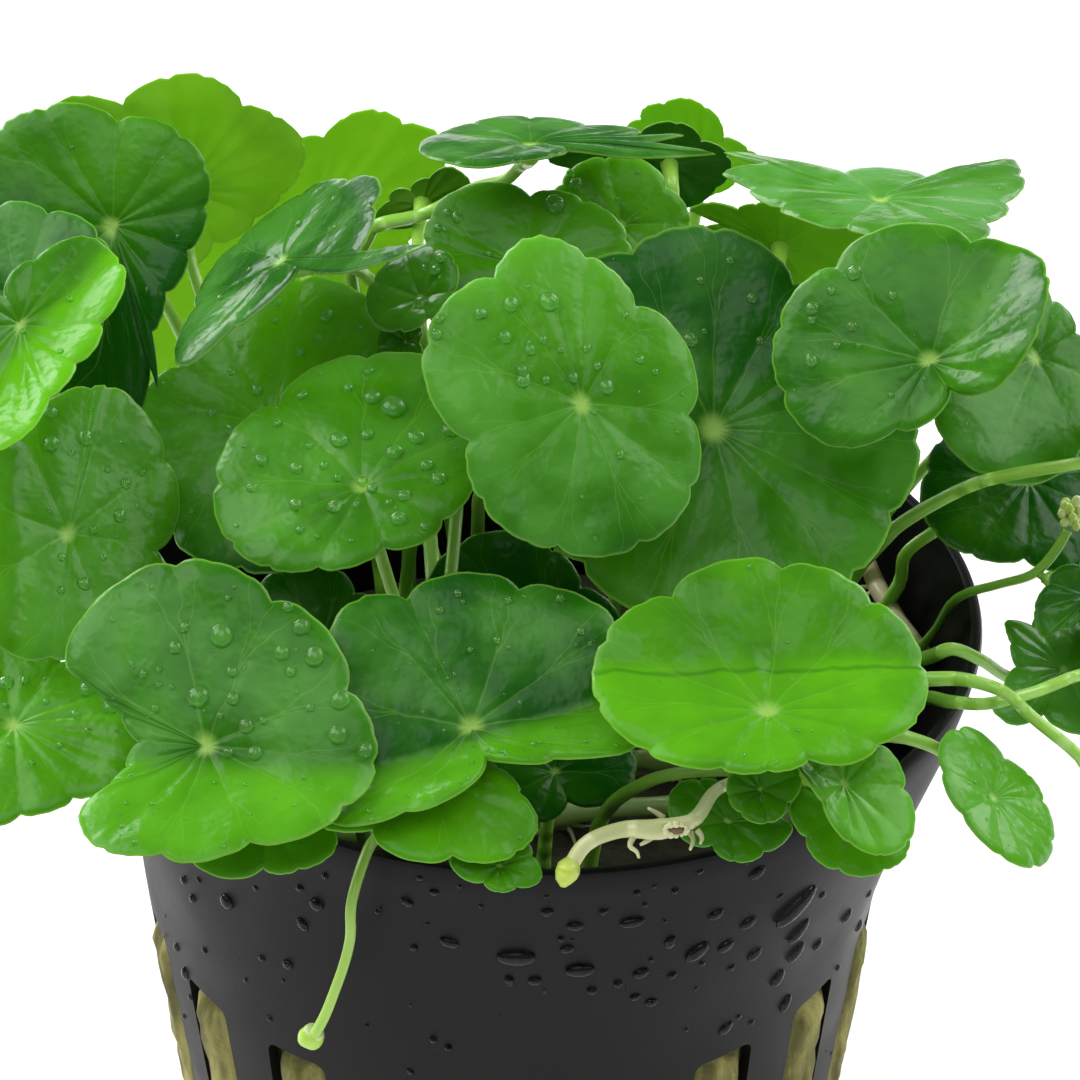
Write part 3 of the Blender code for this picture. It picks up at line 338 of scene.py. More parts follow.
leaves = {
    "leaf_01": dict(seen=(185, 185), height=69, faces=(178, 15), radius=9.0, foot=(-13, 13.5),
        margin=[(50, 108), (82, 92), (123, 100), (169, 73), (205, 74), (243, 103), (275, 111), (303, 140),
        (299, 168), (280, 193), (254, 213), (214, 236)]),
    "leaf_02": dict(seen=(112, 225), height=71, faces=(-8, 38), radius=8.6, foot=(-12, 1.5),
        margin=[(116, 121), (44, 109), (0, 128), (180, 136), (205, 168), (204, 206), (186, 250), (165, 292),
        (152, 332), (149, 368), (157, 390), (140, 411), (108, 400)]),
    "leaf_03": dict(seen=(22, 322), height=74, faces=(35, 50), radius=6.0, cup=0.1, folds=[(-35, 0.1, 45)],
        foot=(-17, 1), margin=[(6, 296), (36, 259), (90, 236), (118, 262), (98, 320), (73, 358), (49, 394),
        (26, 430), (-20, 452), (-60, 404), (-50, 334)]),
    "leaf_04": dict(seen=(20, 300), height=70, faces=(-25, 45), radius=4.8, foot=(-18.0, 0.5),
        stalkSeen=[(130, 520, 55.0), (54, 400, 63.5)], margin=[(96, 236), (45, 212), (0, 205)]),
    "leaf_05": dict(seen=(300, 245), height=60.5, faces=(186, 2), radius=8.6, foot=(-8, 14.5),
        margin=[(323, 133), (344, 116), (379, 111), (402, 120), (438, 130), (440, 170), (414, 206),
        (408, 240), (365, 300), (300, 360), (220, 402), (168, 398), (140, 350), (150, 285), (190, 225),
        (250, 175)]),
    "leaf_06": dict(seen=(278, 258), height=73.5, faces=(-96, 53), radius=7.0, cup=0.04, foot=(-4.5, 6.5),
        stalkSeen=[(388, 304, 65.5), (348, 266, 70.5)], margin=[(183, 360), (196, 306), (236, 242),
        (298, 189), (344, 181), (372, 206), (420, 240), (352, 249), (298, 268), (230, 322)]),
    "leaf_07": dict(seen=(272, 425), height=62, faces=(-14, 52), radius=8.6, foot=(-9.5, 2),
        margin=[(374, 310), (384, 346), (300, 277), (222, 322), (178, 366), (140, 396), (146, 470),
        (172, 532), (240, 566), (310, 556), (372, 500)]),
    "leaf_08": dict(seen=(362, 485), height=66.5, faces=(-14, 68), radius=8.0, cup=-0.05, foot=(-4.5, -7),
        margin=[(218, 480), (231, 537), (268, 563), (318, 565), (383, 545), (442, 515), (474, 473),
        (485, 421), (455, 368), (366, 353), (278, 402)]),
    "leaf_09": dict(seen=(69, 533), height=61.5, faces=(28, 50), radius=7.8, folds=[(180, 0.3, 38)],
        foot=(-14, -7), margin=[(93, 386), (108, 386), (166, 458), (159, 549), (107, 632), (52, 655),
        (24, 436)]),
    "leaf_10": dict(seen=(13, 723), height=53, faces=(-15, 66), radius=7.6, foot=(-16, -7), rim=-58,
        margin=[(60, 660), (99, 690), (122, 710), (140, 740), (128, 766), (110, 784), (72, 795),
        (20, 812)]),
    "leaf_11": dict(seen=(205, 745), height=58, faces=(-12, 50), radius=9.0, folds=[(-95, 0.05, 32)],
        foot=(-12.5, -7.5), margin=[(175, 564), (271, 600), (346, 689), (372, 760), (342, 803), (250, 840),
        (161, 851), (103, 844), (80, 803), (109, 783), (126, 766), (137, 741), (120, 713), (97, 693),
        (64, 666)]),
    "leaf_12": dict(seen=(268, 820), height=53.2, faces=(-12, 62), radius=5.0, foot=(-8.5, -12), rim=-32,
        margin=[(188, 850), (262, 865), (335, 845), (215, 815), (325, 815), (268, 792)]),
    "leaf_13": dict(seen=(583, 403), height=72, faces=(14, 46), radius=9.3, cup=-0.04, foot=(-2, -6.5),
        stalkSeen=[(478, 522, 53.5), (482, 488, 59.5)], margin=[(495, 275), (533, 234), (587, 255),
        (637, 304), (690, 414), (692, 486), (640, 541), (559, 545), (484, 498), (470, 440), (429, 342)]),
    "leaf_14": dict(seen=(528, 268), height=70.5, faces=(-6, 52), radius=6.4, foot=(0.5, 1),
        margin=[(430, 216), (530, 195), (626, 238), (425, 240), (500, 330), (600, 310)]),
    "leaf_15": dict(seen=(622, 224), height=71, faces=(12, 50), radius=5.0, foot=(2.5, 7.5),
        margin=[(563, 182), (606, 158), (667, 187), (690, 222), (648, 256), (566, 262)]),
    "leaf_16": dict(seen=(714, 428), height=65, faces=(4, 46), radius=10.4, cup=0.05, foot=(7.5, 0),
        margin=[(632, 252), (714, 230), (794, 282), (862, 330), (888, 385), (916, 440), (890, 510),
        (854, 569), (760, 612), (640, 606), (585, 560)]),
    "leaf_17": dict(seen=(929, 360), height=74, faces=(-18, 48), radius=8.4, folds=[(-28, 0.08, 38)],
        foot=(14.5, 7.5), stalkSeen=[(903, 425, 58.5), (914, 388, 67.5)], margin=[(835, 266), (970, 240),
        (1041, 272), (1035, 324), (1000, 376), (946, 386), (896, 428), (843, 446), (783, 390), (780, 325)]),
    "leaf_18": dict(seen=(880, 196), height=76, faces=(170, 76), radius=8.0, foot=(11.5, 8),
        margin=[(724, 147), (767, 165), (842, 170), (930, 172), (984, 162), (1009, 156), (1020, 170),
        (1005, 194), (985, 214), (970, 238), (910, 240), (847, 222), (782, 199), (752, 181), (722, 170)]),
    "leaf_19": dict(seen=(530, 140), height=77.5, faces=(176, 74), radius=6.0, foot=(-4.0, 14.0),
        stalkSeen=[(372, 228, 66.0), (430, 212, 69.0), (478, 187, 71.4), (505, 180, 72.6),
        (520, 167, 74.4)], margin=[(438, 128), (472, 121), (530, 120), (588, 122), (642, 124), (684, 133),
        (716, 148), (690, 147), (640, 139), (596, 136), (566, 146), (517, 159), (453, 158)]),
    "leaf_20": dict(seen=(700, 165), height=67.5, faces=(176, 22), radius=4.6, foot=(6.5, 13),
        margin=[(641, 118), (645, 104), (664, 100), (686, 95), (705, 105), (721, 120), (724, 133),
        (748, 146), (764, 168), (735, 180), (690, 190), (650, 178)]),
    "leaf_21": dict(seen=(668, 158), height=71, faces=(186, 14), radius=5.4, foot=(8, 13),
        margin=[(560, 140), (640, 130), (700, 136), (726, 152), (716, 186), (694, 201), (655, 190),
        (598, 172), (549, 160)]),
    "leaf_22": dict(seen=(1038, 356), height=65, faces=(32, 54), radius=8.4, foot=(18.5, 7.0),
        margin=[(976, 240), (1054, 299), (1078, 331), (1100, 380), (1080, 451), (990, 472), (937, 406)]),
    "leaf_23": dict(seen=(1030, 478), height=56.2, faces=(30, 62), radius=7.0, foot=(17.5, 0.5),
        stalkSeen=[(899, 584, 46.5), (908, 551, 51), (937, 530, 53.5)], margin=[(930, 469), (942, 440),
        (1000, 440), (1060, 440), (937, 528), (973, 552), (1025, 557), (1082, 562)]),
    "leaf_24": dict(seen=(471, 726), height=58, faces=(6, 50), radius=9.0, folds=[(-72, 0.04, 42)],
        foot=(-7, -7.5), margin=[(358, 598), (407, 597), (520, 587), (616, 626), (648, 700), (619, 749),
        (553, 753), (486, 755), (404, 804), (343, 820), (330, 700)]),
    "leaf_25": dict(seen=(768, 710), height=61, faces=(4, 76), radius=10.0, folds=[(92, 0.28, 24)],
        foot=(12.5, 0.0), margin=[(672, 594), (783, 565), (872, 600), (921, 663), (918, 710), (878, 739),
        (809, 757), (768, 769), (722, 762), (648, 742), (600, 700), (606, 640)]),
    "leaf_26": dict(seen=(430, 782), height=55.7, faces=(4, 66), radius=5.6, foot=(-3, -12),
        margin=[(322, 823), (372, 828), (453, 855), (517, 847), (538, 820), (520, 792), (498, 765),
        (440, 762), (380, 775)]),
    "leaf_27": dict(seen=(500, 864), height=52.4, faces=(8, 58), radius=2.8, foot=(0.5, -12.5), rim=-4,
        margin=[(450, 858), (484, 880), (517, 885), (541, 878), (532, 856), (490, 848)]),
    "leaf_28": dict(seen=(728, 820), height=52.5, faces=(6, 50), radius=3.8, foot=(12.5, -13),
        margin=[(676, 786), (713, 844), (764, 851), (793, 824), (772, 815), (735, 799), (700, 779)]),
    "leaf_29": dict(seen=(760, 788), height=55.5, faces=(0, 52), radius=2.4, foot=(12, -5),
        margin=[(731, 775), (741, 811), (788, 802), (800, 775), (762, 758)]),
    "leaf_30": dict(seen=(846, 782), height=57, faces=(30, 56), radius=4.6, folds=[(215, 0.1, 40)],
        foot=(4.4, -13.4), stalkSeen=[(604, 815, 47.0), (630, 791, 50.5), (657, 778, 52.0),
        (731, 770, 53.4), (800, 778, 54.6)], margin=[(801, 765), (826, 799), (856, 838), (881, 854),
        (908, 840), (906, 786), (879, 744)]),
    "leaf_31": dict(seen=(846, 812), height=53.2, faces=(14, 52), radius=4.2, foot=(14, -12.5), rim=41,
        margin=[(791, 803), (807, 836), (840, 867), (884, 869), (908, 851), (884, 802), (845, 792),
        (806, 787)]),
    "leaf_32": dict(seen=(996, 795), height=49.5, faces=(76, 50), radius=5.0, foot=(16.5, -5.5),
        stalkSeen=[(905, 737, 51.6), (934, 747, 51.1), (962, 768, 49.8)], margin=[(1008, 755), (1031, 772),
        (1044, 801), (1055, 839), (1037, 862), (1002, 854), (968, 811), (947, 769)]),
    "leaf_33": dict(seen=(1066, 668), height=49.6, faces=(50, 56), radius=4.4, foot=(16, 7.5),
        stalkSeen=[(930, 657, 50.6), (953, 649, 51.8), (981, 660, 51.0), (1006, 676, 49.2),
        (1036, 684, 48.2)], margin=[(1007, 620), (1034, 624), (1013, 642), (1019, 664), (1007, 690),
        (993, 709), (1012, 724), (1047, 712)]),
    "leaf_34": dict(seen=(1092, 594), height=55, faces=(35, 45), radius=4.2, startSeen=(1047, 577, 54.0),
        stalkSeen=[(1060, 590, 53.8)], margin=[(1038, 608), (1050, 584), (1080, 566), (1046, 637),
        (1062, 628), (1082, 620)]),
    "leaf_35": dict(seen=(530, 640), height=50, faces=(0, 48), radius=5.6, foot=(2.5, 0.5),
        margin=[(458, 547), (552, 550), (581, 587), (620, 620)]),
    "leaf_36": dict(seen=(322, 640), height=51, faces=(-8, 46), radius=4.4, foot=(-4.5, 1.5),
        margin=[(280, 570), (340, 571), (354, 592)]),
    "leaf_37": dict(seen=(555, 770), height=49, faces=(4, 60), radius=3.8, foot=(2, -13),
        margin=[(487, 762), (568, 799), (635, 772)]),
    "leaf_38": dict(seen=(418, 296), height=70.5, faces=(-50, 52), radius=3.6, foot=(-5, -12),
        margin=[(437, 249), (453, 262), (450, 290), (427, 318), (397, 327)]),
    "leaf_39": dict(seen=(404, 340), height=67, faces=(-30, 50), radius=2.0, foot=(-7, 1.5),
        margin=[(378, 346), (412, 322), (418, 342)]),
    "leaf_40": dict(seen=(780, 240), height=66, faces=(176, 16), radius=4.8, foot=(9.5, 8),
        margin=[(680, 250), (690, 206), (706, 202), (724, 222), (738, 208), (756, 200), (780, 198),
        (850, 206)]),
    "leaf_41": dict(seen=(424, 196), height=68, faces=(172, 14), radius=3.6, foot=(-2, 1),
        margin=[(374, 218), (390, 199), (412, 186), (430, 174), (448, 166), (471, 178), (450, 203),
        (428, 212)]),
    "leaf_right_1": dict(seen=(1156, 440), height=64, faces=(60, 52), radius=4.8, foot=(15, 0),
        stalkSeen=[(893, 530, 55), (937, 502, 58.5), (984, 481, 61.5), (1025, 472, 63), (1080, 463, 64)],
        margin=[]),
    "leaf_right_2": dict(seen=(1150, 660), height=50, faces=(85, 58), radius=4.6, foot=(19, -6),
        stalkSeen=[(925, 698, 49.4), (952, 702, 51.2), (984, 704, 51.9), (1025, 695, 52.1),
        (1080, 675, 51.5)], margin=[]),
    "leaf_right_3": dict(seen=(1140, 806), height=42, faces=(80, 50), radius=4.2, foot=(20.0, 1.0),
        stalkSeen=[(931, 679, 52.5), (967, 680, 53.5), (1002, 691, 53.5), (1031, 716, 51.7),
        (1080, 757, 48.3), (1106, 806, 41.8)], margin=[]),
    "leaf_back_1": dict(seen=(330, 290), height=52, faces=(200, 40), radius=7.0, foot=(-6.5, 14.5), rim=204,
        margin=[]),
    "leaf_back_2": dict(seen=(560, 268), height=50, faces=(180, 48), radius=7.2, foot=(3.5, 13.5), rim=176,
        margin=[]),
    "leaf_back_3": dict(seen=(790, 300), height=52, faces=(155, 44), radius=6.8, foot=(10, 13.5), rim=152,
        margin=[]),
}

# Pot, rockwool and creeping stems, lengths in mm

potShape = dict(
    height=50, rim=25.0, shoulder=22.7, shoulderHeight=31, base=18.8, wall=0.8, floor=1.2, rimPush=2.1,
    rimStretch=0.06, around=144, dent=0.14, slotWidth=4.2, slotTop=31, slotBottom=6, slotCount=7,
    slotFirst=34.5, slotStep=20.2, slotCorner=0.7, panelWidth=2.5, panelBottom=3, panelTop=27.5,
    panelHead=4.6, panelHeadTall=1.4, panelDepth=0.3, panelSteps=6)
stemBed = dict(runnerHeight=39.0, runnerRadius=0.7, footHeight=40.0)


def aboveShoulder(height):  # 0 at the shoulder, 1 at the rim
    return (height - potShape["shoulderHeight"]) / (potShape["height"] - potShape["shoulderHeight"])


def wallRadius(height):
    look = potShape
    if height > look["shoulderHeight"]:
        return look["shoulder"] + (look["rim"] - look["shoulder"]) * aboveShoulder(height)
    return look["base"] + (look["shoulder"] - look["base"]) * height / look["shoulderHeight"]


def pushRim(point):  # the soft rim is out of round
    share = max(0, min(1, aboveShoulder(point.z / mm)))
    share = share * share * (3 - 2 * share)
    across = point.x * (1 + potShape["rimStretch"] * share) + potShape["rimPush"] * share * mm
    return Vector((across, point.y, point.z))


runners = {
    "runner_front": dict(start=(-13.5, -13.0), end=(14.0, -12.5), wander=1.0),
    "runner_front_middle": dict(start=(-18.5, -6.5), end=(19.0, -6.0), wander=-1.2),
    "runner_middle": dict(start=(-19.5, 0.5), end=(20.0, 1.0), wander=1.2),
    "runner_back_middle": dict(start=(-18.0, 7.5), end=(18.5, 7.0), wander=-1.0),
    "runner_back": dict(start=(-13.0, 13.5), end=(13.0, 14.0), wander=0.8)}

# How a blade is finished, how much painted light and shade its slope and fold add to its tone, and how a
# stalk swells, lengths in mm
bladeLook = dict(
    thickness=0.34, thinEdge=0.45, funnel=0.32, funnelWidth=0.8, quilt=0.075, groove=0.035,
    grooveWidth=0.035, roll=0.26, rollStart=0.84, ruffle=0.16, ruffles=3, sway=0.3, swaySize=3.2,
    usualRadius=8, lobeBulge=0.07, lobeSpan=46, lobeRound=3.6, crenels=3, crenel=0.011, foldLength=1.6,
    around=124, hiddenSpan=72, paintedLightLift=3.0, lowestPaintedLight=-0.3, foldLightEarly=1.0, foldLightFade=2.6, underFrom=0.6)
stalkLook = dict(radius=0.45, foot=1.08, middle=0.84, top=1.3, topFrom=0.85, sides=10, steps=5,
                 bladeThickness=0.45, neckBelow=2.6, topBelow=0.9, tones=(0.25, 0.6))

# Colours of each blade: upper side from 0 deep to 1 bright, share of painted grey sheen on it, underside
# from
# 0 dark to 1 bright with painted light shining through it, the painted light (below 0, painted shade) the
# upper side gains past the fold, and what it gains towards its far edge
leafTones = {
    "leaf_01": (0.5, 0, 0.85, 0, 0), "leaf_02": (0.14, 0, 0.3, 0, 0.42),
    "leaf_03": (0.42, 0, 0.4, 0.2, 0.15), "leaf_04": (0.05, 0.2, 0.3, 0, 0), "leaf_05": (0.5, 0, 1.1, 0, 0),
    "leaf_06": (0.04, 0.18, 0.3, 0, 0.1), "leaf_07": (0.58, 0.12, 0.3, 0, 0.5),
    "leaf_08": (0.45, 0.12, 0.3, 0, -0.05), "leaf_09": (0.55, 0.2, 0.3, 0.4, 0),
    "leaf_10": (0.68, 0.05, 0.4, 0, 0), "leaf_11": (0.3, 0.17, 0.3, -0.25, 0),
    "leaf_12": (0.6, 0, 0.4, 0, 0), "leaf_13": (0.47, 0.18, 0.3, 0, 0.12),
    "leaf_14": (0.5, 0.05, 0.3, 0, 0), "leaf_15": (0.8, 0.05, 0.3, 0, 0),
    "leaf_16": (0.2, 0.12, 0.3, 0, -0.06), "leaf_17": (0.24, 0.04, 0.3, 0.15, 0),
    "leaf_18": (0.45, 0.4, 0.3, 0, 0), "leaf_19": (0.15, 0.1, 0.3, 0, 0), "leaf_20": (0.5, 0, 1.0, 0, 0),
    "leaf_21": (0.4, 0, 0.0, 0, 0), "leaf_22": (0.4, 0.3, 0.3, 0, 0), "leaf_23": (0.05, 0, 0.2, 0, 0),
    "leaf_24": (0.1, 0.12, 0.3, -0.1, 0.05), "leaf_25": (0.82, 0, 0.5, 0, 0),
    "leaf_26": (0.72, 0, 0.5, 0, 0), "leaf_27": (0.6, 0, 0.4, 0, 0), "leaf_28": (0.4, 0, 0.3, 0, 0),
    "leaf_29": (0.4, 0, 0.3, 0, 0), "leaf_30": (0.8, 0.15, 0.3, 0, 0), "leaf_31": (0.65, 0, 0.4, 0, 0),
    "leaf_32": (0.8, 0.15, 0.3, 0, 0), "leaf_33": (0.45, 0.25, 0.3, 0, 0), "leaf_34": (0.15, 0, 0.2, 0, 0),
    "leaf_35": (0.02, 0, 0.1, 0, 0), "leaf_36": (0.1, 0, 0.1, 0, 0), "leaf_37": (0.0, 0, 0.1, 0, 0),
    "leaf_38": (0.35, 0.1, 0.3, 0, 0), "leaf_39": (0.25, 0, 0.2, 0, 0), "leaf_40": (0.4, 0, 0.35, 0, 0),
    "leaf_41": (0.3, 0, 0.2, 0, 0), "leaf_right_1": (0.45, 0.2, 0.3, 0, 0),
    "leaf_right_2": (0.35, 0.1, 0.3, 0, 0), "leaf_right_3": (0.45, 0, 0.3, 0, 0),
    "leaf_back_1": (0.35, 0.2, 0.3, 0, 0), "leaf_back_2": (0.4, 0.1, 0.3, 0, 0),
    "leaf_back_3": (0.35, 0.2, 0.3, 0, 0)}
creaseShaded = ("leaf_24", "leaf_25")  # painted shade: a dark line along their fold
backlit = ("leaf_01", "leaf_05", "leaf_20", "leaf_40")  # thin, with the light coming through

# The blade's section from its middle out and back below: share of the way out, and share of the thickness
bladeSection = [(share, 0) for share in (0, 0.05, 0.1, 0.17, 0.26, 0.36, 0.46, 0.56, 0.66, 0.75, 0.83)]
bladeSection += [(0.89, 0), (0.94, 0)]
bladeSection += [(0.975, 0.04), (0.995, 0.25), (1, 0.5), (0.99, 0.85)]
bladeSection += [(share, 1) for share in (0.96, 0.88, 0.76, 0.6, 0.42, 0.24, 0.09, 0)]


def turnSection(bm, section, steps, gap):  # a section of (out, up) turned about Z into a closed shape
    verts = [bm.verts.new((out, 0, up)) for out, up in section]
    lines = [bm.edges.new(pair) for pair in zip(verts, verts[1:])]
    bmesh.ops.spin(bm, geom=verts + lines, cent=(0, 0, 0), axis=(0, 0, 1), angle=math.tau, steps=steps,
                   use_merge=True)
    bmesh.ops.remove_doubles(bm, verts=bm.verts, dist=gap)


def leafFrame(leaf):  # the leaf's own axes, Z out of its upper side
    heading, rise = math.radians(leaf["faces"][0]), math.radians(leaf["faces"][1])
    level = math.cos(rise)
    normal = Vector((math.sin(heading) * level, -math.cos(heading) * level, math.sin(rise)))
    right = Vector((1, 0, 0))
    side = (right - normal * right.dot(normal)).normalized()
    matrix = Matrix((side, normal.cross(side), normal)).transposed().to_4x4()
    matrix.translation = sightPoint(leaf["seen"], leaf["height"])
    return matrix


def bentPoint(leaf, x, y):  # a point of the flat blade, where its cup and folds take it
    radius = leaf["radius"] * mm
    point = Vector((x, y, leaf.get("cup", 0) * (x * x + y * y) / radius))
    for direction, offset, angle in leaf.get("folds", []):
        along = Vector((math.cos(math.radians(direction)), math.sin(math.radians(direction)), 0))
        past = point.dot(along) - offset * radius
        if past > 0:
            angle = math.radians(angle)
            length = bladeLook["foldLength"] * mm
            curl = angle * min(past / length, 1)
            straight = max(past - length, 0)
            reach = length / angle
            out = reach * math.sin(curl) + straight * math.cos(curl)
            lift = reach * (1 - math.cos(curl)) + straight * math.sin(curl)
            point += along * (out - past) + Vector((0, 0, lift))
    return point


def flatPoint(leaf, place, pixel):  # the point of the flat blade that the picture shows at the pixel
    step = 0.01 * mm
    x = y = 0.0
    for _ in range(12):
        here = seenPixel(place @ bentPoint(leaf, x, y))
        byX = (seenPixel(place @ bentPoint(leaf, x + step, y)) - here) / step
        byY = (seenPixel(place @ bentPoint(leaf, x, y + step)) - here) / step
        miss = Vector(pixel) - here
        scale = byX.x * byY.y - byY.x * byX.y
        x += max(-0.003, min(0.003, (miss.x * byY.y - miss.y * byY.x) / scale))
        y += max(-0.003, min(0.003, (miss.y * byX.x - miss.x * byX.y) / scale))
    return x, y


def leafNotches(leaf, place):  # angle and radius of each notch, the hidden side filled in at its radius
    spots = [flatPoint(leaf, place, pixel) for pixel in leaf["margin"]]
    found = sorted((math.atan2(y, x), math.hypot(x, y)) for x, y in spots)
    found = found or [(0.2, leaf["radius"] * mm)]
    ring = []
    for index, (angle, radius) in enumerate(found):
        ring.append((angle, radius))
        follows, nextRadius = found[(index + 1) % len(found)]
        gap = follows - angle + (math.tau if index == len(found) - 1 else 0)
        extra = round(gap / math.radians(bladeLook["lobeSpan"])) - 1
        for step in range(extra):
            share = (step + 1) / (extra + 1)
            unseen = max(0, min(1, gap / math.radians(bladeLook["hiddenSpan"]) - 1))
            hidden = min(1, 4 * share * (1 - share)) * unseen
            blend = (radius * (1 - share) + nextRadius * share) * (1 - hidden)
            ring.append((angle + gap * share, blend + leaf["radius"] * mm * hidden))
    return ring


def leafEdge(leaf, place):  # the margin, lobe by lobe: angle, radius and lobe count of each point
    ring = leafNotches(leaf, place)
    edge = []
    for index, (angle, radius) in enumerate(ring):
        follows, nextRadius = ring[(index + 1) % len(ring)]
        span = follows - angle + (math.tau if follows <= angle else 0)
        bulge = bladeLook["lobeBulge"] * min(span / math.radians(bladeLook["lobeSpan"]), 1.5)
        count = max(5, round(span / math.tau * bladeLook["around"]))
        for step in range(count):
            t = step / count
            crown = 1 - abs(2 * t - 1) ** bladeLook["lobeRound"]
            fine = bladeLook["crenel"] * abs(math.sin(math.pi * bladeLook["crenels"] * t))
            reach = (radius + (nextRadius - radius) * t) * (1 + bulge * crown + fine)
            edge.append((angle + span * t, reach, index + t))
    return edge, len(ring)


def leafShape(name, leaf):
    place = leafFrame(leaf)
    edge, lobes = leafEdge(leaf, place)
    phase = sum(ord(letter) for letter in name) * 0.37  # so that no two blades sway alike
    return dict(name=name, leaf=leaf, place=place, edge=edge, lobes=lobes, phase=phase,
                angles=[angle for angle, _, _ in edge])


def edgePlace(shape, x, y):  # lobe count and share of the way out for a point of the flat blade
    edge = shape["edge"]
    angle = math.atan2(y, x)
    while angle < edge[0][0]:
        angle += math.tau
    while angle >= edge[0][0] + math.tau:
        angle -= math.tau
    index = bisect.bisect_right(shape["angles"], angle) - 1
    here = edge[index]
    first = (edge[0][0] + math.tau, edge[0][1], shape["lobes"])
    after = edge[index + 1] if index + 1 < len(edge) else first
    t = (angle - here[0]) / (after[0] - here[0])
    return here[2] + (after[2] - here[2]) * t, math.hypot(x, y) / (here[1] + (after[1] - here[1]) * t)


def relief(shape, x, y, lobe, share):  # how far the finished surface stands off the plain one, in mm
    look = bladeLook
    size = shape["leaf"]["radius"] / look["usualRadius"]
    away = abs(lobe - round(lobe))
    reach = math.hypot(x, y) / mm
    height = -look["funnel"] * math.exp(-(reach / look["funnelWidth"]) ** 2)
    height += look["quilt"] * (0.5 - 0.5 * math.cos(math.tau * lobe)) * math.sin(math.pi * min(share, 1))
    height -= look["groove"] * math.exp(-(away * share / look["grooveWidth"]) ** 2) * min(1, share * 4)
    height -= look["roll"] * max(0, (share - look["rollStart"]) / (1 - look["rollStart"])) ** 2 * size
    ruffle = math.sin(math.tau * lobe / shape["lobes"] * look["ruffles"] + shape["phase"])
    height += look["ruffle"] * share * share * ruffle
    spot = Vector((x / mm, y / mm, shape["phase"])) / look["swaySize"]
    return height + look["sway"] * noise.noise(spot) * min(1, share * 1.5) * size


def surfacePoint(shape, x, y, lobe=None, share=None):  # point and normal of the upper side, in the room
    leaf, place = shape["leaf"], shape["place"]
    if lobe is None:
        lobe, share = edgePlace(shape, x, y)
    step = 0.04 * mm
    point = bentPoint(leaf, x, y)
    normal = (bentPoint(leaf, x + step, y) - point).cross(bentPoint(leaf, x, y + step) - point).normalized()
    return place @ (point + normal * relief(shape, x, y, lobe, share) * mm), place.to_3x3() @ normal


def smoothPath(points, steps):  # a smooth curve through the points
    last = len(points) - 1
    spans = [(there - here).length for here, there in zip(points, points[1:])]
    slopes = []
    for index in range(last + 1):
        before, after = max(index - 1, 0), min(index, last - 1)
        weight = spans[after] / (spans[before] + spans[after])
        slopes.append((points[before + 1] - points[before]) / spans[before] * weight
                      + (points[after + 1] - points[after]) / spans[after] * (1 - weight))
    path = []
    for index in range(last):
        for step in range(steps):
            t = step / steps
            spot = points[index] * (1 + 2 * t) * (1 - t) ** 2 + points[index + 1] * t * t * (3 - 2 * t)
            spot += slopes[index] * spans[index] * t * (1 - t) ** 2
            spot -= slopes[index + 1] * spans[index] * t * t * (1 - t)
            path.append(spot)
    return path + [points[-1]]


def addTube(bm, path, radii, slot, sides, tones):  # a disc extruded along the path, closed at both ends
    toneLayer = bm.verts.layers.float.get("tone") or bm.verts.layers.float.new("tone")
    side = (path[1] - path[0]).orthogonal().normalized()
    face = previous = None
    made = []
    for index, point in enumerate(path):
        ahead = (path[min(index + 1, len(path) - 1)] - path[max(index - 1, 0)]).normalized()
        side = (side - ahead * side.dot(ahead)).normalized()
        turn = Matrix((side, ahead.cross(side), ahead)).transposed().to_4x4()
        size = Matrix.Diagonal((radii[index] * mm, radii[index] * mm, mm, 1))
        ring = Matrix.Translation(point) @ turn @ size
        if face is None:
            disc = bmesh.ops.create_circle(bm, cap_ends=True, segments=sides, radius=1, matrix=ring)["verts"]
            face = disc[0].link_faces[0]
            made += disc
        else:
            grown = bmesh.ops.extrude_face_region(bm, geom=[face])["geom"]
            face = next(item for item in grown if isinstance(item, bmesh.types.BMFace))
            bmesh.ops.transform(bm, matrix=ring @ previous.inverted(), verts=face.verts)
            made += [item for item in grown if isinstance(item, bmesh.types.BMVert)]
        previous = ring
        for vert in face.verts:
            vert[toneLayer] = tones[0] + (tones[1] - tones[0]) * index / (len(path) - 1)
    for item in {item for vert in made for item in vert.link_faces}:
        item.material_index = slot
        item.smooth = True


def finishPiece(name, bm, materials, slot, *nodes):  # the bmesh as an object that rides on the part
    mesh = bpy.data.meshes.new(name)
    bmesh.ops.recalc_face_normals(bm, faces=bm.faces)
    for face in bm.faces:
        face.smooth = True
    bm.to_mesh(mesh)
    bm.free()
    for paint in materials:
        mesh.materials.append(paint)
    piece = bpy.data.objects.new(name, mesh)
    bpy.context.scene.collection.objects.link(piece)
    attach(piece, "root")
    if nodes:
        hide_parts(*nodes)


def runnerPath(runner, steps):
    points = []
    for step in range(5):
        t = step / 4
        x, y = (runner["start"][axis] + (runner["end"][axis] - runner["start"][axis]) * t for axis in (0, 1))
        sideways = runner["wander"] * math.sin(t * math.tau)
        points.append(Vector((x, y + sideways, stemBed["runnerHeight"])) * mm)
    return smoothPath(points, steps)


def stalkFoot(leaf):  # on the creeping stem nearest to the wanted foot
    want = Vector(leaf["foot"]) * mm
    spots = [point for runner in runners.values() for point in runnerPath(runner, 8)]
    best = min(spots, key=lambda point: (point.xy - want).length)
    return Vector((best.x, best.y, stemBed["footHeight"] * mm))


rimLook = dict(dip=1.5, clearance=1.0, reach=1.6)  # how a stalk leans over the pot's rim


def rimCrossing(bearing):  # leads a stalk over the pot's rim
    turn = math.radians(bearing)
    rim = potShape["rim"]
    crest = pushRim(Vector((rim * math.sin(turn), -rim * math.cos(turn), potShape["height"])) * mm)
    inside = Vector((crest.x * 0.8, crest.y * 0.8, crest.z - rimLook["dip"] * mm))
    return [inside, crest + Vector((0, 0, rimLook["clearance"] * mm))]


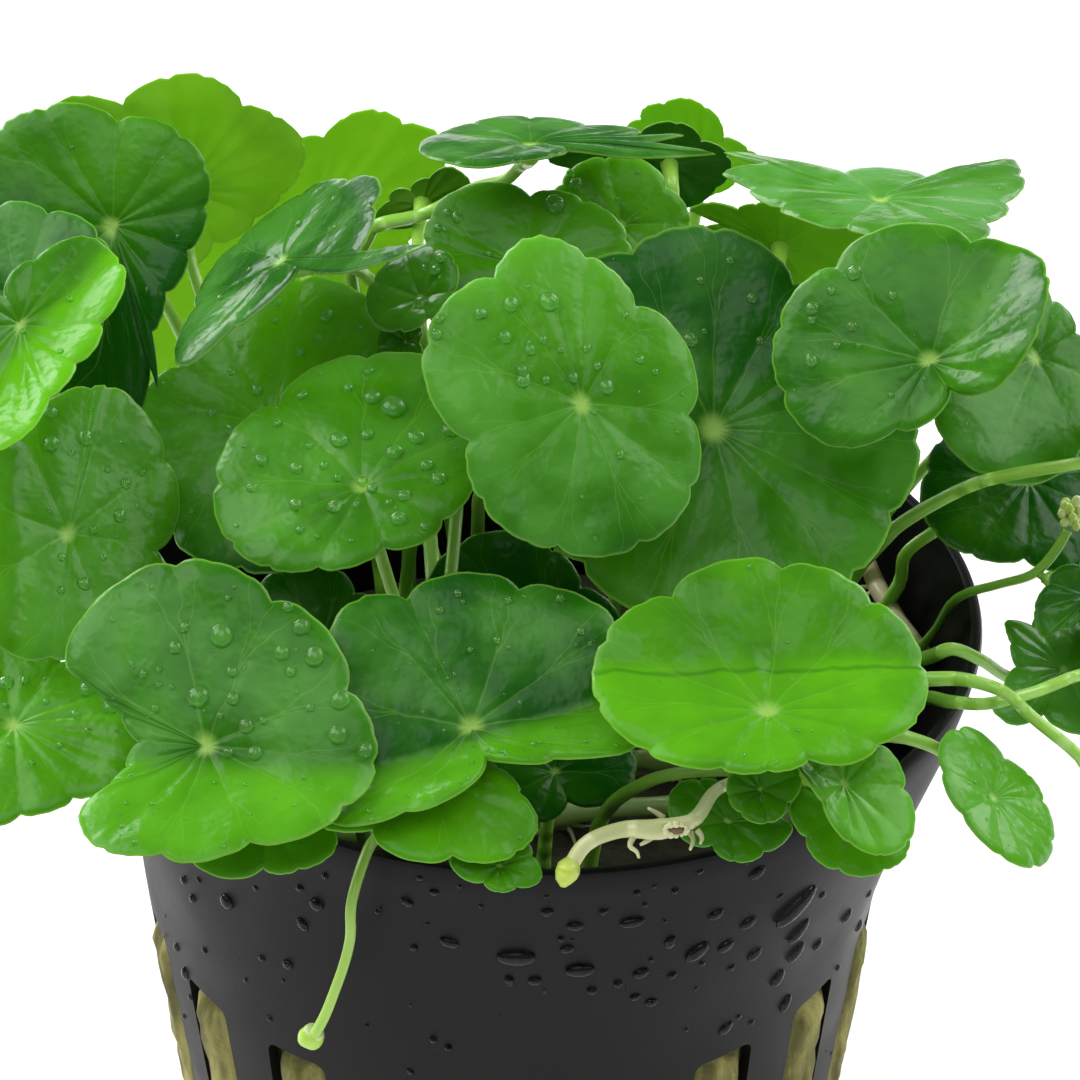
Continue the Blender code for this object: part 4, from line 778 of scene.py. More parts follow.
def stalkPath(leaf, place):
    head, normal = place.translation, place.to_3x3() @ Vector((0, 0, 1))
    steps = stalkLook["steps"]
    foot = sightPoint(leaf["startSeen"], leaf["startSeen"][2]) if "startSeen" in leaf else stalkFoot(leaf)
    neck = head - normal * stalkLook["bladeThickness"] * mm * stalkLook["neckBelow"]
    top = head - normal * stalkLook["bladeThickness"] * mm * stalkLook["topBelow"]
    if "rim" in leaf:
        inside, crest = rimCrossing(leaf["rim"])
        way = [inside] if (crest - head).length < rimLook["reach"] * mm else [inside, crest]
        return smoothPath([foot, *way, neck], steps) + [top]
    if "stalkSeen" in leaf:
        seen = [sightPoint(spot, spot[2]) for spot in leaf["stalkSeen"]]
        return smoothPath([foot, *seen, neck], steps) + [top]
    length = (head - foot).length
    start = foot + Vector((head.x - foot.x, head.y - foot.y, 0)) * 0.1 + Vector((0, 0, length * 0.4))
    end = head - normal * length * 0.3
    path = []
    for step in range(steps * 3):
        t = step / (steps * 3)
        point = foot * (1 - t) ** 3 + start * 3 * t * (1 - t) ** 2
        path.append(point + end * 3 * t * t * (1 - t) + neck * t ** 3)
    return path + [neck, top]


farOff = 9  # a fold that never comes


def pastFold(leaf, x, y):  # distance past the blade's first fold, in mm
    direction, offset, _ = leaf.get("folds", [(0, farOff, 0)])[0]
    turn = math.radians(direction)
    return (x * math.cos(turn) + y * math.sin(turn)) / mm - offset * leaf["radius"]


def bladeColors(shape, x, y, lift, depth):  # tone with painted light and shade from how the blade faces and folds, painted sheen, and distance to the crease
    look, leaf = bladeLook, shape["leaf"]
    tone, paintedSheen, under, pastFoldLight, slope = leafTones[shape["name"]]
    past = pastFold(leaf, x, y)
    crease = past if shape["name"] in creaseShaded else farOff
    if depth >= look["underFrom"]:
        return under, 0, crease
    # painted light and shade: brighter where the surface turns up more than the blade as a whole, darker
    # where it turns down, and lighter or darker past the fold
    share = max(0, min(1, (past + look["foldLightEarly"]) / look["foldLightFade"]))
    lift = max(look["lowestPaintedLight"], lift * look["paintedLightLift"])
    tone += lift + (pastFoldLight * share + slope * y / mm / leaf["radius"])
    return tone, paintedSheen * (1 - 0.75 * share), crease


def addBlade(bm, shape):
    edge, lobes, leaf = shape["edge"], shape["lobes"], shape["leaf"]
    level = (shape["place"].to_3x3() @ Vector((0, 0, 1))).z
    count = len(edge)
    layers = [bm.verts.layers.float.new(key) for key in ("tone", "paintedSheen", "crease")]
    uvLayer = bm.loops.layers.uv.new("blade")
    turnSection(bm, [(share, -depth) for share, depth in bladeSection], count, 0.0001)
    bm.verts.index_update()
    spots = []
    for vert in bm.verts:
        share, depth = vert.co.xy.length, -vert.co.z
        angle, reach, lobe = edge[round(math.atan2(vert.co.y, vert.co.x) / math.tau * count) % count]
        spots.append((lobe, share, depth))
        x, y = math.cos(angle) * reach * share, math.sin(angle) * reach * share
        point, normal = surfacePoint(shape, x, y, lobe, share)
        thick = bladeLook["thickness"] * (1 - bladeLook["thinEdge"] * share ** 3)
        vert.co = point - normal * depth * thick * mm
        for layer, value in zip(layers, bladeColors(shape, x, y, normal.z - level, depth)):
            vert[layer] = value
    for face in bm.faces:
        around = [spots[loop.vert.index][0] for loop in face.loops if spots[loop.vert.index][1] > 0.001]
        wraps = max(around) - min(around) > lobes / 2
        middle = sum(lobe + (lobes if wraps and lobe < lobes / 2 else 0) for lobe in around) / len(around)
        for loop in face.loops:
            lobe, share, depth = spots[loop.vert.index]
            if share <= 0.001:
                lobe = middle
            elif wraps and lobe < lobes / 2:
                lobe += lobes
            loop[uvLayer].uv = (lobe, share)
        depth = sum(spots[loop.vert.index][2] for loop in face.loops) / len(face.loops)
        face.material_index = 1 if depth > bladeLook["underFrom"] else 0


def makeLeaf(name, leaf):
    shape = leafShape(name, leaf)
    bm = bmesh.new()
    addBlade(bm, shape)
    path = stalkPath(leaf, shape["place"])
    last = len(path) - 1
    look = stalkLook
    radii = []
    for index in range(last + 1):
        t = index / last
        swell = look["foot"] + (look["middle"] - look["foot"]) * math.sin(math.pi * min(t * 0.75, 0.5))
        flare = (look["top"] - look["middle"]) * max(0, t - look["topFrom"]) / (1 - look["topFrom"])
        radii.append(look["radius"] * (swell + flare))
    addTube(bm, path, radii, 2, look["sides"], look["tones"])
    sides = ("thinUpper", "thinLower") if name in backlit else ("upper", "lower")
    finishPiece("pennywort_" + name, bm, [paints[key] for key in (*sides, "stalk")], "leaf", name)
    return shape


leafShapes = {name: makeLeaf(name, leaf) for name, leaf in leaves.items()}
print("leaves grown:", len(leafShapes))


def turnProfile(bm, profile, steps):
    turnSection(bm, [(radius * mm, height * mm) for radius, height in profile], steps, 0.00001)
    bmesh.ops.recalc_face_normals(bm, faces=bm.faces)


def scratchObject(name, bm):
    mesh = bpy.data.meshes.new(name)
    bm.to_mesh(mesh)
    bm.free()
    made = bpy.data.objects.new(name, mesh)
    bpy.context.scene.collection.objects.link(made)
    return made


def addSlots(bm):  # boxes with round corners, left and right in pairs
    look = potShape
    radius = (wallRadius(look["slotBottom"]) + wallRadius(look["slotTop"])) / 2
    middle = (look["slotTop"] + look["slotBottom"]) / 2
    tall = look["slotTop"] - look["slotBottom"]
    place = Matrix.Translation(Vector((0, -radius, middle)) * mm)
    size = Matrix.Diagonal((look["slotWidth"] * mm, 8 * mm, tall * mm, 1))
    for index in range(look["slotCount"]):
        for side in (-1, 1):
            bearing = side * math.radians(look["slotFirst"] + index * look["slotStep"])
            turn = Matrix.Rotation(bearing, 4, "Z")
            box = bmesh.ops.create_cube(bm, size=1, matrix=turn @ place @ size)["verts"]
            outward = turn.to_3x3() @ Vector((0, 1, 0))
            corners = [edge for edge in {edge for vert in box for edge in vert.link_edges}
                       if abs((edge.verts[0].co - edge.verts[1].co).normalized().dot(outward)) > 0.9]
            bmesh.ops.bevel(bm, geom=corners, offset=look["slotCorner"] * mm, segments=4, profile=0.5,
                            affect="EDGES", material=-1)


def addPanel(bm, width, low, high):  # short boxes that follow the slope of the wall
    steps = potShape["panelSteps"]
    for step in range(steps):
        bottom = low + (high - low) * step / steps
        top = low + (high - low) * (step + 1) / steps
        face = wallRadius((bottom + top) / 2) - potShape["panelDepth"]
        size = Matrix.Diagonal((width * mm, 2 * mm, (top - bottom + 0.002) * mm, 1))
        place = Matrix.Translation(Vector((0, -face - 1, (bottom + top) / 2)) * mm)
        bmesh.ops.create_cube(bm, size=1, matrix=place @ size)


def potCutter():  # the slots, and the shallow panel in front with its wider head
    bm = bmesh.new()
    look = potShape
    addSlots(bm)
    addPanel(bm, look["panelWidth"], look["panelBottom"], look["panelTop"])
    addPanel(bm, look["panelHead"], look["panelTop"] - look["panelHeadTall"], look["panelTop"])
    return scratchObject("potCutter", bm)


def makePot():
    look = potShape
    bm = bmesh.new()
    levels = [0, 2.5, 5, 8, 11, 14, 17, 20, 23, 26, 29, 31, 33, 36, 39, 42, 45, 48]
    rim, inside = look["rim"], look["rim"] - look["wall"]
    profile = [(0, look["floor"]), (10, look["floor"])]
    profile += [(wallRadius(height) - look["wall"], max(height, look["floor"])) for height in levels]
    profile += [(inside - 0.02, 49.6), (inside + 0.12, 49.92), (inside + 0.32, 50)]  # the rim's round lip
    profile += [(rim - 0.3, 50), (rim - 0.1, 49.92), (rim, 49.6)]
    profile += [(wallRadius(height), height) for height in reversed(levels[1:])]
    profile += [(wallRadius(0.5), 0.5), (wallRadius(0) - 0.12, 0.12), (wallRadius(0) - 0.45, 0)]
    profile += [(10, 0), (0, 0)]
    turnProfile(bm, profile, look["around"])
    for vert in bm.verts:
        vert.co = pushRim(vert.co)
        out = Vector((vert.co.x, vert.co.y, 0)).normalized()
        share = max(0, min(1, (vert.co.z / mm - 8) / 20)) * min(1, (50.01 - vert.co.z / mm) / 3)
        vert.co += out * noise.noise(vert.co / mm * 0.09) * look["dent"] * share * mm
    body = scratchObject("potBody", bm)
    cutter = potCutter()
    cut = body.modifiers.new("slots", "BOOLEAN")
    cut.operation = "DIFFERENCE"
    cut.object = cutter
    cut.use_self = True
    graph = bpy.context.evaluated_depsgraph_get()
    mesh = bpy.data.meshes.new_from_object(body.evaluated_get(graph))
    bpy.data.objects.remove(body)
    bpy.data.objects.remove(cutter)
    mesh.materials.clear()
    mesh.materials.append(paints["pot"])
    mesh.set_sharp_from_angle(angle=math.radians(40))
    piece = bpy.data.objects.new("slotted_pot", mesh)
    bpy.context.scene.collection.objects.link(piece)
    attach(piece, "root")
    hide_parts("net_pot")


plugLook = dict(top=38, bottom=1.5, gap=0.35, rough=0.28, bulge=1.5, slotFade=1.5, levels=28, around=240)


def slotBulge(x, y, height):  # 1 in the middle of a slot, 0 between slots
    look, fade = potShape, plugLook["slotFade"]
    bearing = abs(math.degrees(math.atan2(x, -y)))
    best = 0
    for index in range(look["slotCount"]):
        turn = abs(bearing - look["slotFirst"] - index * look["slotStep"])
        off = turn * math.pi / 180 * wallRadius(height)
        best = max(best, 1 - (off / (look["slotWidth"] * 0.5)) ** 4)
    above = min(1, max(0, height - look["slotBottom"]) / fade)
    below = min(1, max(0, look["slotTop"] - height) / fade)
    return max(0, best) * (above * below)


def makePlug():  # rockwool that swells out through the slots
    look = plugLook
    bm = bmesh.new()
    shoulder, steps = potShape["shoulderHeight"], look["levels"]
    levels = [look["bottom"] + (shoulder - look["bottom"]) * step / steps for step in range(steps + 1)]
    profile = [(0, look["bottom"]), (8, look["bottom"]), (14, look["bottom"])]
    profile += [(wallRadius(height) - potShape["wall"] - look["gap"], height) for height in levels]
    widest = wallRadius(shoulder)
    profile += [(widest - 1.0, height) for height in (33, 35, 36.5)]
    profile += [(widest - 1.3, 37.5), (widest - 2.2, look["top"])]
    profile += [(18.5 - 1.5 * step, look["top"]) for step in range(12)] + [(0, look["top"])]
    turnProfile(bm, profile, look["around"])
    for vert in bm.verts:
        x, y, height = vert.co / mm
        out = Vector((x, y, 0)).normalized() if abs(x) + abs(y) > 0.1 else Vector()
        swell = slotBulge(x, y, height) * look["bulge"]
        fuzz = noise.noise(Vector((x, y, height)) * 0.8) + 0.5 * noise.noise(Vector((x, y, height)) * 2.3)
        side = 1 if 1.6 < height < 37 else 0.3
        limit = 0.3 if swell == 0 else 1
        vert.co += out * (swell + min(fuzz * look["rough"] * side, limit)) * mm
        if height > 37.9:
            vert.co.z += (fuzz * look["rough"] * 0.8 - 0.1) * mm
    finishPiece("rockwool", bm, (paints["wool"],), "rockwool", "rockwool_plug")


rootRoom = 0.7  # mm between a stem's middle and the pot's wall


def keepInside(point):  # the point, moved in from the pot's wall
    reach = (wallRadius(point.z / mm) - potShape["wall"] - rootRoom) * mm
    center = pushRim(Vector((0, 0, point.z)))
    stretch = (pushRim(Vector((reach, 0, point.z))) - center).x / reach
    offset = point - center
    return center + offset * min(1, reach / math.hypot(offset.x / stretch, offset.y))


rootRadii = [0.16, 0.14, 0.12, 0.1, 0.08, 0.04]


def makeRoots(name, starts, seed, count, length, inside=False):  # short roots, down and sideways
    draw = random.Random(seed)
    steps = len(rootRadii) - 1
    bm = bmesh.new()
    for start in starts:
        for _ in range(count):
            turn = draw.uniform(0, math.tau)
            step = Vector((math.cos(turn), math.sin(turn), -0.25))
            path = [Vector(start)]
            for _ in range(steps):
                step += Vector((draw.uniform(-0.5, 0.5), draw.uniform(-0.5, 0.5), draw.uniform(-0.35, 0.15)))
                spot = path[-1] + step.normalized() * length * draw.uniform(0.6, 1.2) / steps * mm
                spot.z = max(spot.z, start[2] - 1.0 * mm)
                path.append(keepInside(spot) if inside else spot)
            addTube(bm, path, rootRadii, 0, 5, (draw.random(), draw.random()))
    finishPiece(name, bm, (paints["root"],), "pale_stem")


runnerLook = dict(steps=10, nodeEvery=7, nodeSwell=0.3, nodeWidth=0.55, nodeApart=3, bareEnd=2, taper=1.2,
                  rootCount=4, rootLength=4.5)


def makeRunner(name, runner, seed):  # a stem with a swollen node every few millimetres, roots at each
    look = runnerLook
    path = runnerPath(runner, look["steps"])
    along = [0]
    for here, there in zip(path, path[1:]):
        along.append(along[-1] + (there - here).length / mm)
    radii, joints = [], []
    for place, point in zip(along, path):
        off = abs((place + 2.5) % look["nodeEvery"] - look["nodeEvery"] / 2)
        swell = math.exp(-(off / look["nodeWidth"]) ** 2)
        end = min(1, min(place, along[-1] - place) / look["taper"] * 0.7 + 0.35)
        radii.append(stemBed["runnerRadius"] * (0.86 + look["nodeSwell"] * swell) * end)
        apart = not joints or (point - joints[-1]).length > look["nodeApart"] * mm
        if swell > 0.8 and look["bareEnd"] < place < along[-1] - look["bareEnd"] and apart:
            joints.append(point)
    bm = bmesh.new()
    addTube(bm, path, radii, 0, 12, (0.25, 0.6))
    finishPiece("grown_" + name, bm, (paints["runner"],), "stem", name)
    starts = [joint - Vector((0, 0, 0.4 * mm)) for joint in joints]
    makeRoots("roots_" + name, starts, seed, look["rootCount"], look["rootLength"])


makePot()
makePlug()
for number, (name, runner) in enumerate(runners.items()):
    makeRunner(name, runner, 20 + number)
print("pot, rockwool and creeping stems made")

# The shoots. A seen point is across, down (pixels) and height (mm); swell is the thickness along the shoot

shoots = {
    "hanging_shoot": dict(
        inside=[(-5.5, -14.5, 40.2), (-6.6, -20.2, 48.6)],
        seen=[(371, 844, 51.1), (352, 900, 48.6), (350, 940, 45.4), (335, 990, 41.5), (320, 1025, 38.8),
              (312, 1038, 37.8)],
        radius=0.31, swell=(1.3, 1.2, 1.05, 1, 0.98, 1.0, 1.05, 1.0), tones=(0.1, 1.0),
        bud=(311, 1037, 37.6), budRadius=0.78, budDent=0.12,
        collar=[(0.78, 0.36), (0.62, 0.56), (0.42, 0.66), (0.2, 0.64)]),  # mm behind the bud, and radius
    "broken_runner": dict(
        inside=[],
        seen=[(738, 780, 54.2), (718, 789, 54.2), (690, 822, 53.8), (660, 829, 53.6), (620, 830, 53.4),
              (585, 845, 53.0), (570, 868, 52.4), (566, 878, 52.1)],
        radius=0.45, swell=(0.8, 0.78, 1.0, 1.4, 1.05, 1.0, 1.0, 0.9), tones=(0.1, 0.25),
        tip=[(573, 862, 52.6), (569, 868, 52.4), (566, 875, 52.2), (564, 881, 51.9), (563, 887, 51.6)],
        tipRadii=[0.5, 0.7, 0.66, 0.5, 0.16], tipTones=(0.75, 1.1), hollow=(676, 829, 53.75),
        rootlets=[[(634, 836, 53.2), (630, 846, 52.8), (637, 852, 52.5), (639, 858, 52.3)],
                  [(655, 835, 53.2), (645, 842, 52.9), (640, 845, 52.8)],
                  [(690, 832, 53.4), (693, 840, 53.1), (690, 850, 52.8)],
                  [(697, 830, 53.5), (702, 838, 53.2), (700, 844, 53.0)],
                  [(664, 818, 54.0), (655, 812, 54.3), (648, 808, 54.6)]]),
    "flower_stem": dict(
        inside=[(21.4, 2.6, 40.4)],
        seen=[(931, 636, 46.5), (967, 593, 51.8), (1000, 584, 53.0), (1036, 572, 54.2), (1056, 550, 55.2),
              (1068, 530, 56.2)],
        radius=0.3, swell=(1.1, 1, 0.95, 0.95, 1.0, 1.05, 1.0), tones=(0.0, 0.5),
        branch=[(1036, 572, 54.2), (1047, 580, 53.9), (1058, 592, 53.6)], head=(1073, 514, 57.0), buds=16),
    "old_stem": dict(
        seen=[(862, 548, 46.5), (878, 588, 45.2), (900, 622, 44.8), (922, 655, 45.0)],
        radius=1, swell=(0.5, 0.62, 0.5, 0.66), tones=(0.1, 0.5), rootCount=4, rootLength=3.5)}


def seenPoints(spots):
    return [sightPoint(spot, spot[2]) for spot in spots]


def shootPath(shoot):
    return smoothPath([Vector(point) * mm for point in shoot["inside"]] + seenPoints(shoot["seen"]), 6)


def shootRadii(shoot, count):
    swell = shoot["swell"]
    radii = []
    for index in range(count):
        place = index / (count - 1) * (len(swell) - 1)
        low = min(int(place), len(swell) - 2)
        radii.append(shoot["radius"] * (swell[low] + (swell[low + 1] - swell[low]) * (place - low)))
    return radii


def addBall(bm, center, size, slot, tone, stretch, segments):
    toneLayer = bm.verts.layers.float.get("tone") or bm.verts.layers.float.new("tone")
    scale = Matrix.Diagonal((*(share * size * mm for share in stretch), 1))
    verts = bmesh.ops.create_uvsphere(bm, u_segments=segments, v_segments=max(6, segments // 2), radius=1,
                                      matrix=Matrix.Translation(center) @ scale)["verts"]
    for vert in verts:
        vert[toneLayer] = tone
        for face in vert.link_faces:
            face.material_index = slot
    return verts


def makeHangingShoot():  # ends in a round bud with a pale collar
    shoot = shoots["hanging_shoot"]
    bm = bmesh.new()
    path = shootPath(shoot)
    addTube(bm, path, shootRadii(shoot, len(path)), 0, 14, shoot["tones"])
    bud = sightPoint(shoot["bud"], shoot["bud"][2])
    for vert in addBall(bm, bud, shoot["budRadius"], 1, 0.15, (1, 0.95, 1.0), 24):
        dent = noise.noise(vert.co / mm * 1.3) * shoot["budDent"]
        vert.co += (vert.co - bud).normalized() * dent * mm
    ahead = (path[-1] - path[-4]).normalized()
    collar = [bud - ahead * behind * mm for behind, _ in shoot["collar"]]
    addTube(bm, collar, [radius for _, radius in shoot["collar"]], 1, 16, (1, 0.9))
    finishPiece("shoot_with_bud", bm, (paints["shoot"], paints["bud"]), "stem", "hanging_shoot")


def makeBrokenRunner():  # pale, with a brown hollow where it broke, rootlets, and a young tip
    shoot = shoots["broken_runner"]
    bm = bmesh.new()
    path = shootPath(shoot)
    addTube(bm, path, shootRadii(shoot, len(path)), 0, 14, shoot["tones"])
    addTube(bm, seenPoints(shoot["tip"]), shoot["tipRadii"], 0, 14, shoot["tipTones"])
    hollow = sightPoint(shoot["hollow"], shoot["hollow"][2])
    back = viewAxes()[2]
    for angle in range(0, 360, 30):  # a ragged ring round the hollow
        turn = math.radians(angle)
        spot = hollow + Vector((math.cos(turn) * 0.62, 0, math.sin(turn) * 0.42)) * mm + back * 0.5 * mm
        addBall(bm, spot, 0.2 + 0.06 * math.sin(angle), 0, 0.1, (1, 1, 1), 8)
    addBall(bm, hollow + back * 0.34 * mm, 0.48, 1, 0.2, (1.1, 0.6, 0.75), 12)
    for spots in shoot["rootlets"]:
        line = smoothPath(seenPoints(spots), 3)
        radii = [0.2 - 0.12 * index / (len(line) - 1) for index in range(len(line))]
        addTube(bm, line, radii, 2, 7, (0.7, 1))
    looks = [paints[key] for key in ("cream", "hollow", "root")]
    finishPiece("pale_broken_runner", bm, looks, "pale_stem", "broken_runner")


def makeFlowerStem():  # a thin stem with a side branch and a head of small buds
    shoot = shoots["flower_stem"]
    bm = bmesh.new()
    path = shootPath(shoot)
    addTube(bm, path, shootRadii(shoot, len(path)), 0, 10, shoot["tones"])
    branch = smoothPath(seenPoints(shoot["branch"]), 4)
    addTube(bm, branch, [0.26 - 0.006 * index for index in range(len(branch))], 0, 10, (0.2, 0.3))
    head = sightPoint(shoot["head"], shoot["head"][2])
    draw = random.Random(5)
    for _ in range(shoot["buds"]):
        away = Vector((draw.uniform(-1, 1), draw.uniform(-1, 1), draw.uniform(-0.8, 1))).normalized()
        spot = head + away * draw.uniform(0.45, 0.8) * mm
        addBall(bm, spot, draw.uniform(0.26, 0.38), 1, draw.random(), (1, 1, 1.15), 8)
        addTube(bm, [head, head.lerp(spot, 0.5), spot], [0.1, 0.09, 0.08], 0, 5, (0.5, 0.8))
    finishPiece("flower_head", bm, (paints["stalk"], paints["flower"]), "stem", "flower_stem")


def makeOldStem():  # a dry brown length of stem on the wool at the right, with its roots
    shoot = shoots["old_stem"]
    bm = bmesh.new()
    points = seenPoints(shoot["seen"])
    path = [keepInside(point) for point in smoothPath(points, 6)]
    addTube(bm, path, shootRadii(shoot, len(path)), 0, 10, shoot["tones"])
    finishPiece("old_stem", bm, (paints["root"],), "pale_stem")
    makeRoots("old_stem_roots", points[1:], 41, shoot["rootCount"], shoot["rootLength"], inside=True)


makeHangingShoot()
makeBrokenRunner()
makeFlowerStem()
makeOldStem()
print("shoots made")

# Water drops. seenDrops: across, down and radius as seen, in pixels

seenDrops = {
    "leaf_08": [(393, 408, 11), (372, 398, 8), (368, 369, 5), (326, 357, 7), (431, 379, 7), (465, 388, 7),
                (445, 409, 3), (450, 430, 8), (416, 438, 8), (367, 435, 6), (339, 442, 8), (394, 453, 8),
                (348, 388, 5), (302, 396, 5), (278, 425, 4), (261, 460, 6), (296, 468, 6), (252, 487, 5),
                (296, 505, 6), (335, 506, 7), (356, 505, 4), (426, 466, 6), (438, 479, 7), (404, 496, 6),
                (389, 503, 4), (398, 519, 7), (424, 525, 4), (300, 530, 4), (362, 479, 5), (372, 487, 5),
                (338, 478, 4), (478, 404, 4), (324, 466, 4), (309, 446, 4)],
    "leaf_09": [(51, 445, 7), (85, 439, 7), (51, 412, 6), (126, 483, 5), (143, 472, 3), (120, 516, 6),
                (138, 506, 3), (93, 530, 4), (84, 584, 6), (119, 598, 6), (138, 591, 4), (61, 590, 4),
                (50, 510, 3), (175, 468, 7), (71, 454, 3), (107, 470, 3), (62, 557, 4), (103, 558, 3)],
    "leaf_10": [(6, 683, 7), (25, 682, 4), (87, 689, 7), (111, 706, 8), (46, 702, 3), (75, 714, 4),
                (88, 731, 3), (6, 705, 3), (10, 745, 3), (60, 745, 3), (30, 660, 4)],
    "leaf_11": [(221, 635, 11), (198, 697, 10), (175, 648, 6), (184, 627, 5), (251, 572, 5), (288, 607, 5),
                (301, 627, 8), (282, 653, 7), (315, 657, 9), (291, 672, 5), (232, 672, 5), (233, 699, 6),
                (246, 726, 7), (310, 708, 4), (340, 700, 9), (338, 735, 9), (365, 750, 7), (255, 753, 7),
                (228, 752, 5), (143, 674, 4), (131, 663, 3), (159, 670, 3), (159, 685, 3), (172, 687, 3),
                (220, 715, 4), (263, 720, 4), (155, 708, 4), (228, 598, 3)],
    "leaf_13": [(511, 305, 7), (549, 302, 9), (530, 350, 5), (505, 337, 6), (524, 380, 7), (437, 334, 5),
                (480, 315, 5), (522, 370, 5), (543, 340, 4), (573, 378, 5), (587, 348, 4), (597, 366, 4),
                (606, 387, 7), (546, 380, 4), (440, 320, 4), (483, 315, 4), (620, 455, 4), (655, 372, 3),
                (640, 360, 4), (595, 411, 3), (560, 350, 3)],
    "leaf_14": [(555, 205, 9), (457, 217, 5), (438, 227, 4), (447, 212, 4)],
    "leaf_15": [(576, 184, 6), (571, 172, 4), (690, 200, 4)],
    "leaf_38": [(443, 259, 5), (437, 271, 5), (419, 302, 7), (425, 268, 3)],
    "leaf_07": [(327, 316, 6), (318, 338, 4), (276, 301, 4), (257, 390, 5), (232, 372, 4), (360, 330, 3),
                (232, 430, 5), (240, 345, 3), (300, 352, 4), (212, 412, 4)],
    "leaf_17": [(855, 273, 7), (813, 309, 6), (811, 360, 6), (832, 292, 4), (836, 345, 4), (893, 296, 4),
                (852, 326, 5), (812, 320, 4), (858, 345, 3)],
    "leaf_16": [(752, 298, 5), (690, 340, 7), (820, 320, 4), (700, 280, 4), (760, 340, 4), (730, 260, 4),
                (663, 360, 4)],
    "leaf_24": [(458, 593, 4), (440, 610, 4), (497, 640, 4), (560, 598, 4), (508, 600, 4), (580, 632, 4),
                (470, 650, 3)],
    "leaf_32": [(987, 820, 2), (980, 766, 2), (975, 782, 2)],
    "leaf_30": [(822, 764, 5), (815, 772, 3)],
    "leaf_03": [(24, 330, 3), (60, 350, 3), (70, 300, 3)],
    "leaf_06": [(300, 225, 4), (250, 270, 3), (335, 200, 3), (222, 300, 4)]}

# seeded small drops on each of these leaves: how many
mist = {"leaf_07": 34, "leaf_08": 26, "leaf_09": 26, "leaf_10": 20, "leaf_11": 60, "leaf_13": 44,
        "leaf_14": 10, "leaf_16": 36, "leaf_17": 22, "leaf_24": 90, "leaf_25": 12, "leaf_02": 12,
        "leaf_06": 14, "leaf_26": 8, "leaf_15": 8, "leaf_18": 8, "leaf_22": 8, "leaf_03": 8, "leaf_32": 5,
        "leaf_38": 5, "leaf_12": 4, "leaf_30": 4}
dropLook = dict(grow=1.15, height=0.66, sink=0.12, reach=0.985, mistSmall=0.05, mistLarge=0.19, seed=11)


def dropMesh(around, rings):
    bm = bmesh.new()
    bmesh.ops.create_uvsphere(bm, u_segments=around, v_segments=rings, radius=1)
    mesh = bpy.data.meshes.new("drop")
    bm.to_mesh(mesh)
    bm.free()
    return mesh


dropMeshes = dict(small=dropMesh(9, 6), large=dropMesh(18, 10))


def addDrop(bm, point, normal, radius, stretch, along):  # a low dome, sunk a little in what it sits on
    side = (along - normal * along.dot(normal)).normalized()
    turn = Matrix((side, normal.cross(side), normal)).transposed().to_4x4()
    height = radius * dropLook["height"] / stretch ** 0.3
    scale = Matrix.Diagonal((radius * stretch, radius / stretch ** 0.5, height, 1))
    drop = dropMeshes["large" if radius > 0.3 * mm else "small"].copy()
    drop.transform(Matrix.Translation(point + normal * radius * dropLook["sink"]) @ turn @ scale)
    bm.from_mesh(drop)
    bpy.data.meshes.remove(drop)


def pixelWidth(point):  # what one pixel of the photograph spans at the point, in metres
    away = view["distance"] - (point - Vector(view["target"])).dot(viewAxes()[2])
    return away / view["focal"]


def makeLeafDrops():
    look = dropLook
    draw = random.Random(look["seed"])
    for name in sorted(set(seenDrops) | set(mist)):
        shape = leafShapes[name]
        bm = bmesh.new()
        for across, down, size in seenDrops.get(name, []):
            x, y = flatPoint(shape["leaf"], shape["place"], (across, down))
            if edgePlace(shape, x, y)[1] < look["reach"]:
                point, normal = surfacePoint(shape, x, y)
                stretch = draw.uniform(1, 1.12)
                along = Vector((draw.uniform(-1, 1), 0, 1))
                addDrop(bm, point, normal, size * look["grow"] * pixelWidth(point), stretch, along)
        for _ in range(mist.get(name, 0)):
            angle, reach, _ = draw.choice(shape["edge"])
            share = math.sqrt(draw.uniform(0.01, 0.93))
            x, y = math.cos(angle) * reach * share, math.sin(angle) * reach * share
            point, normal = surfacePoint(shape, x, y)
            size = look["mistSmall"] + (look["mistLarge"] - look["mistSmall"]) * draw.random() ** 2.2
            addDrop(bm, point, normal, size * mm, 1, normal.orthogonal())
        finishPiece("water_on_" + name, bm, (paints["water"],), "leaf")


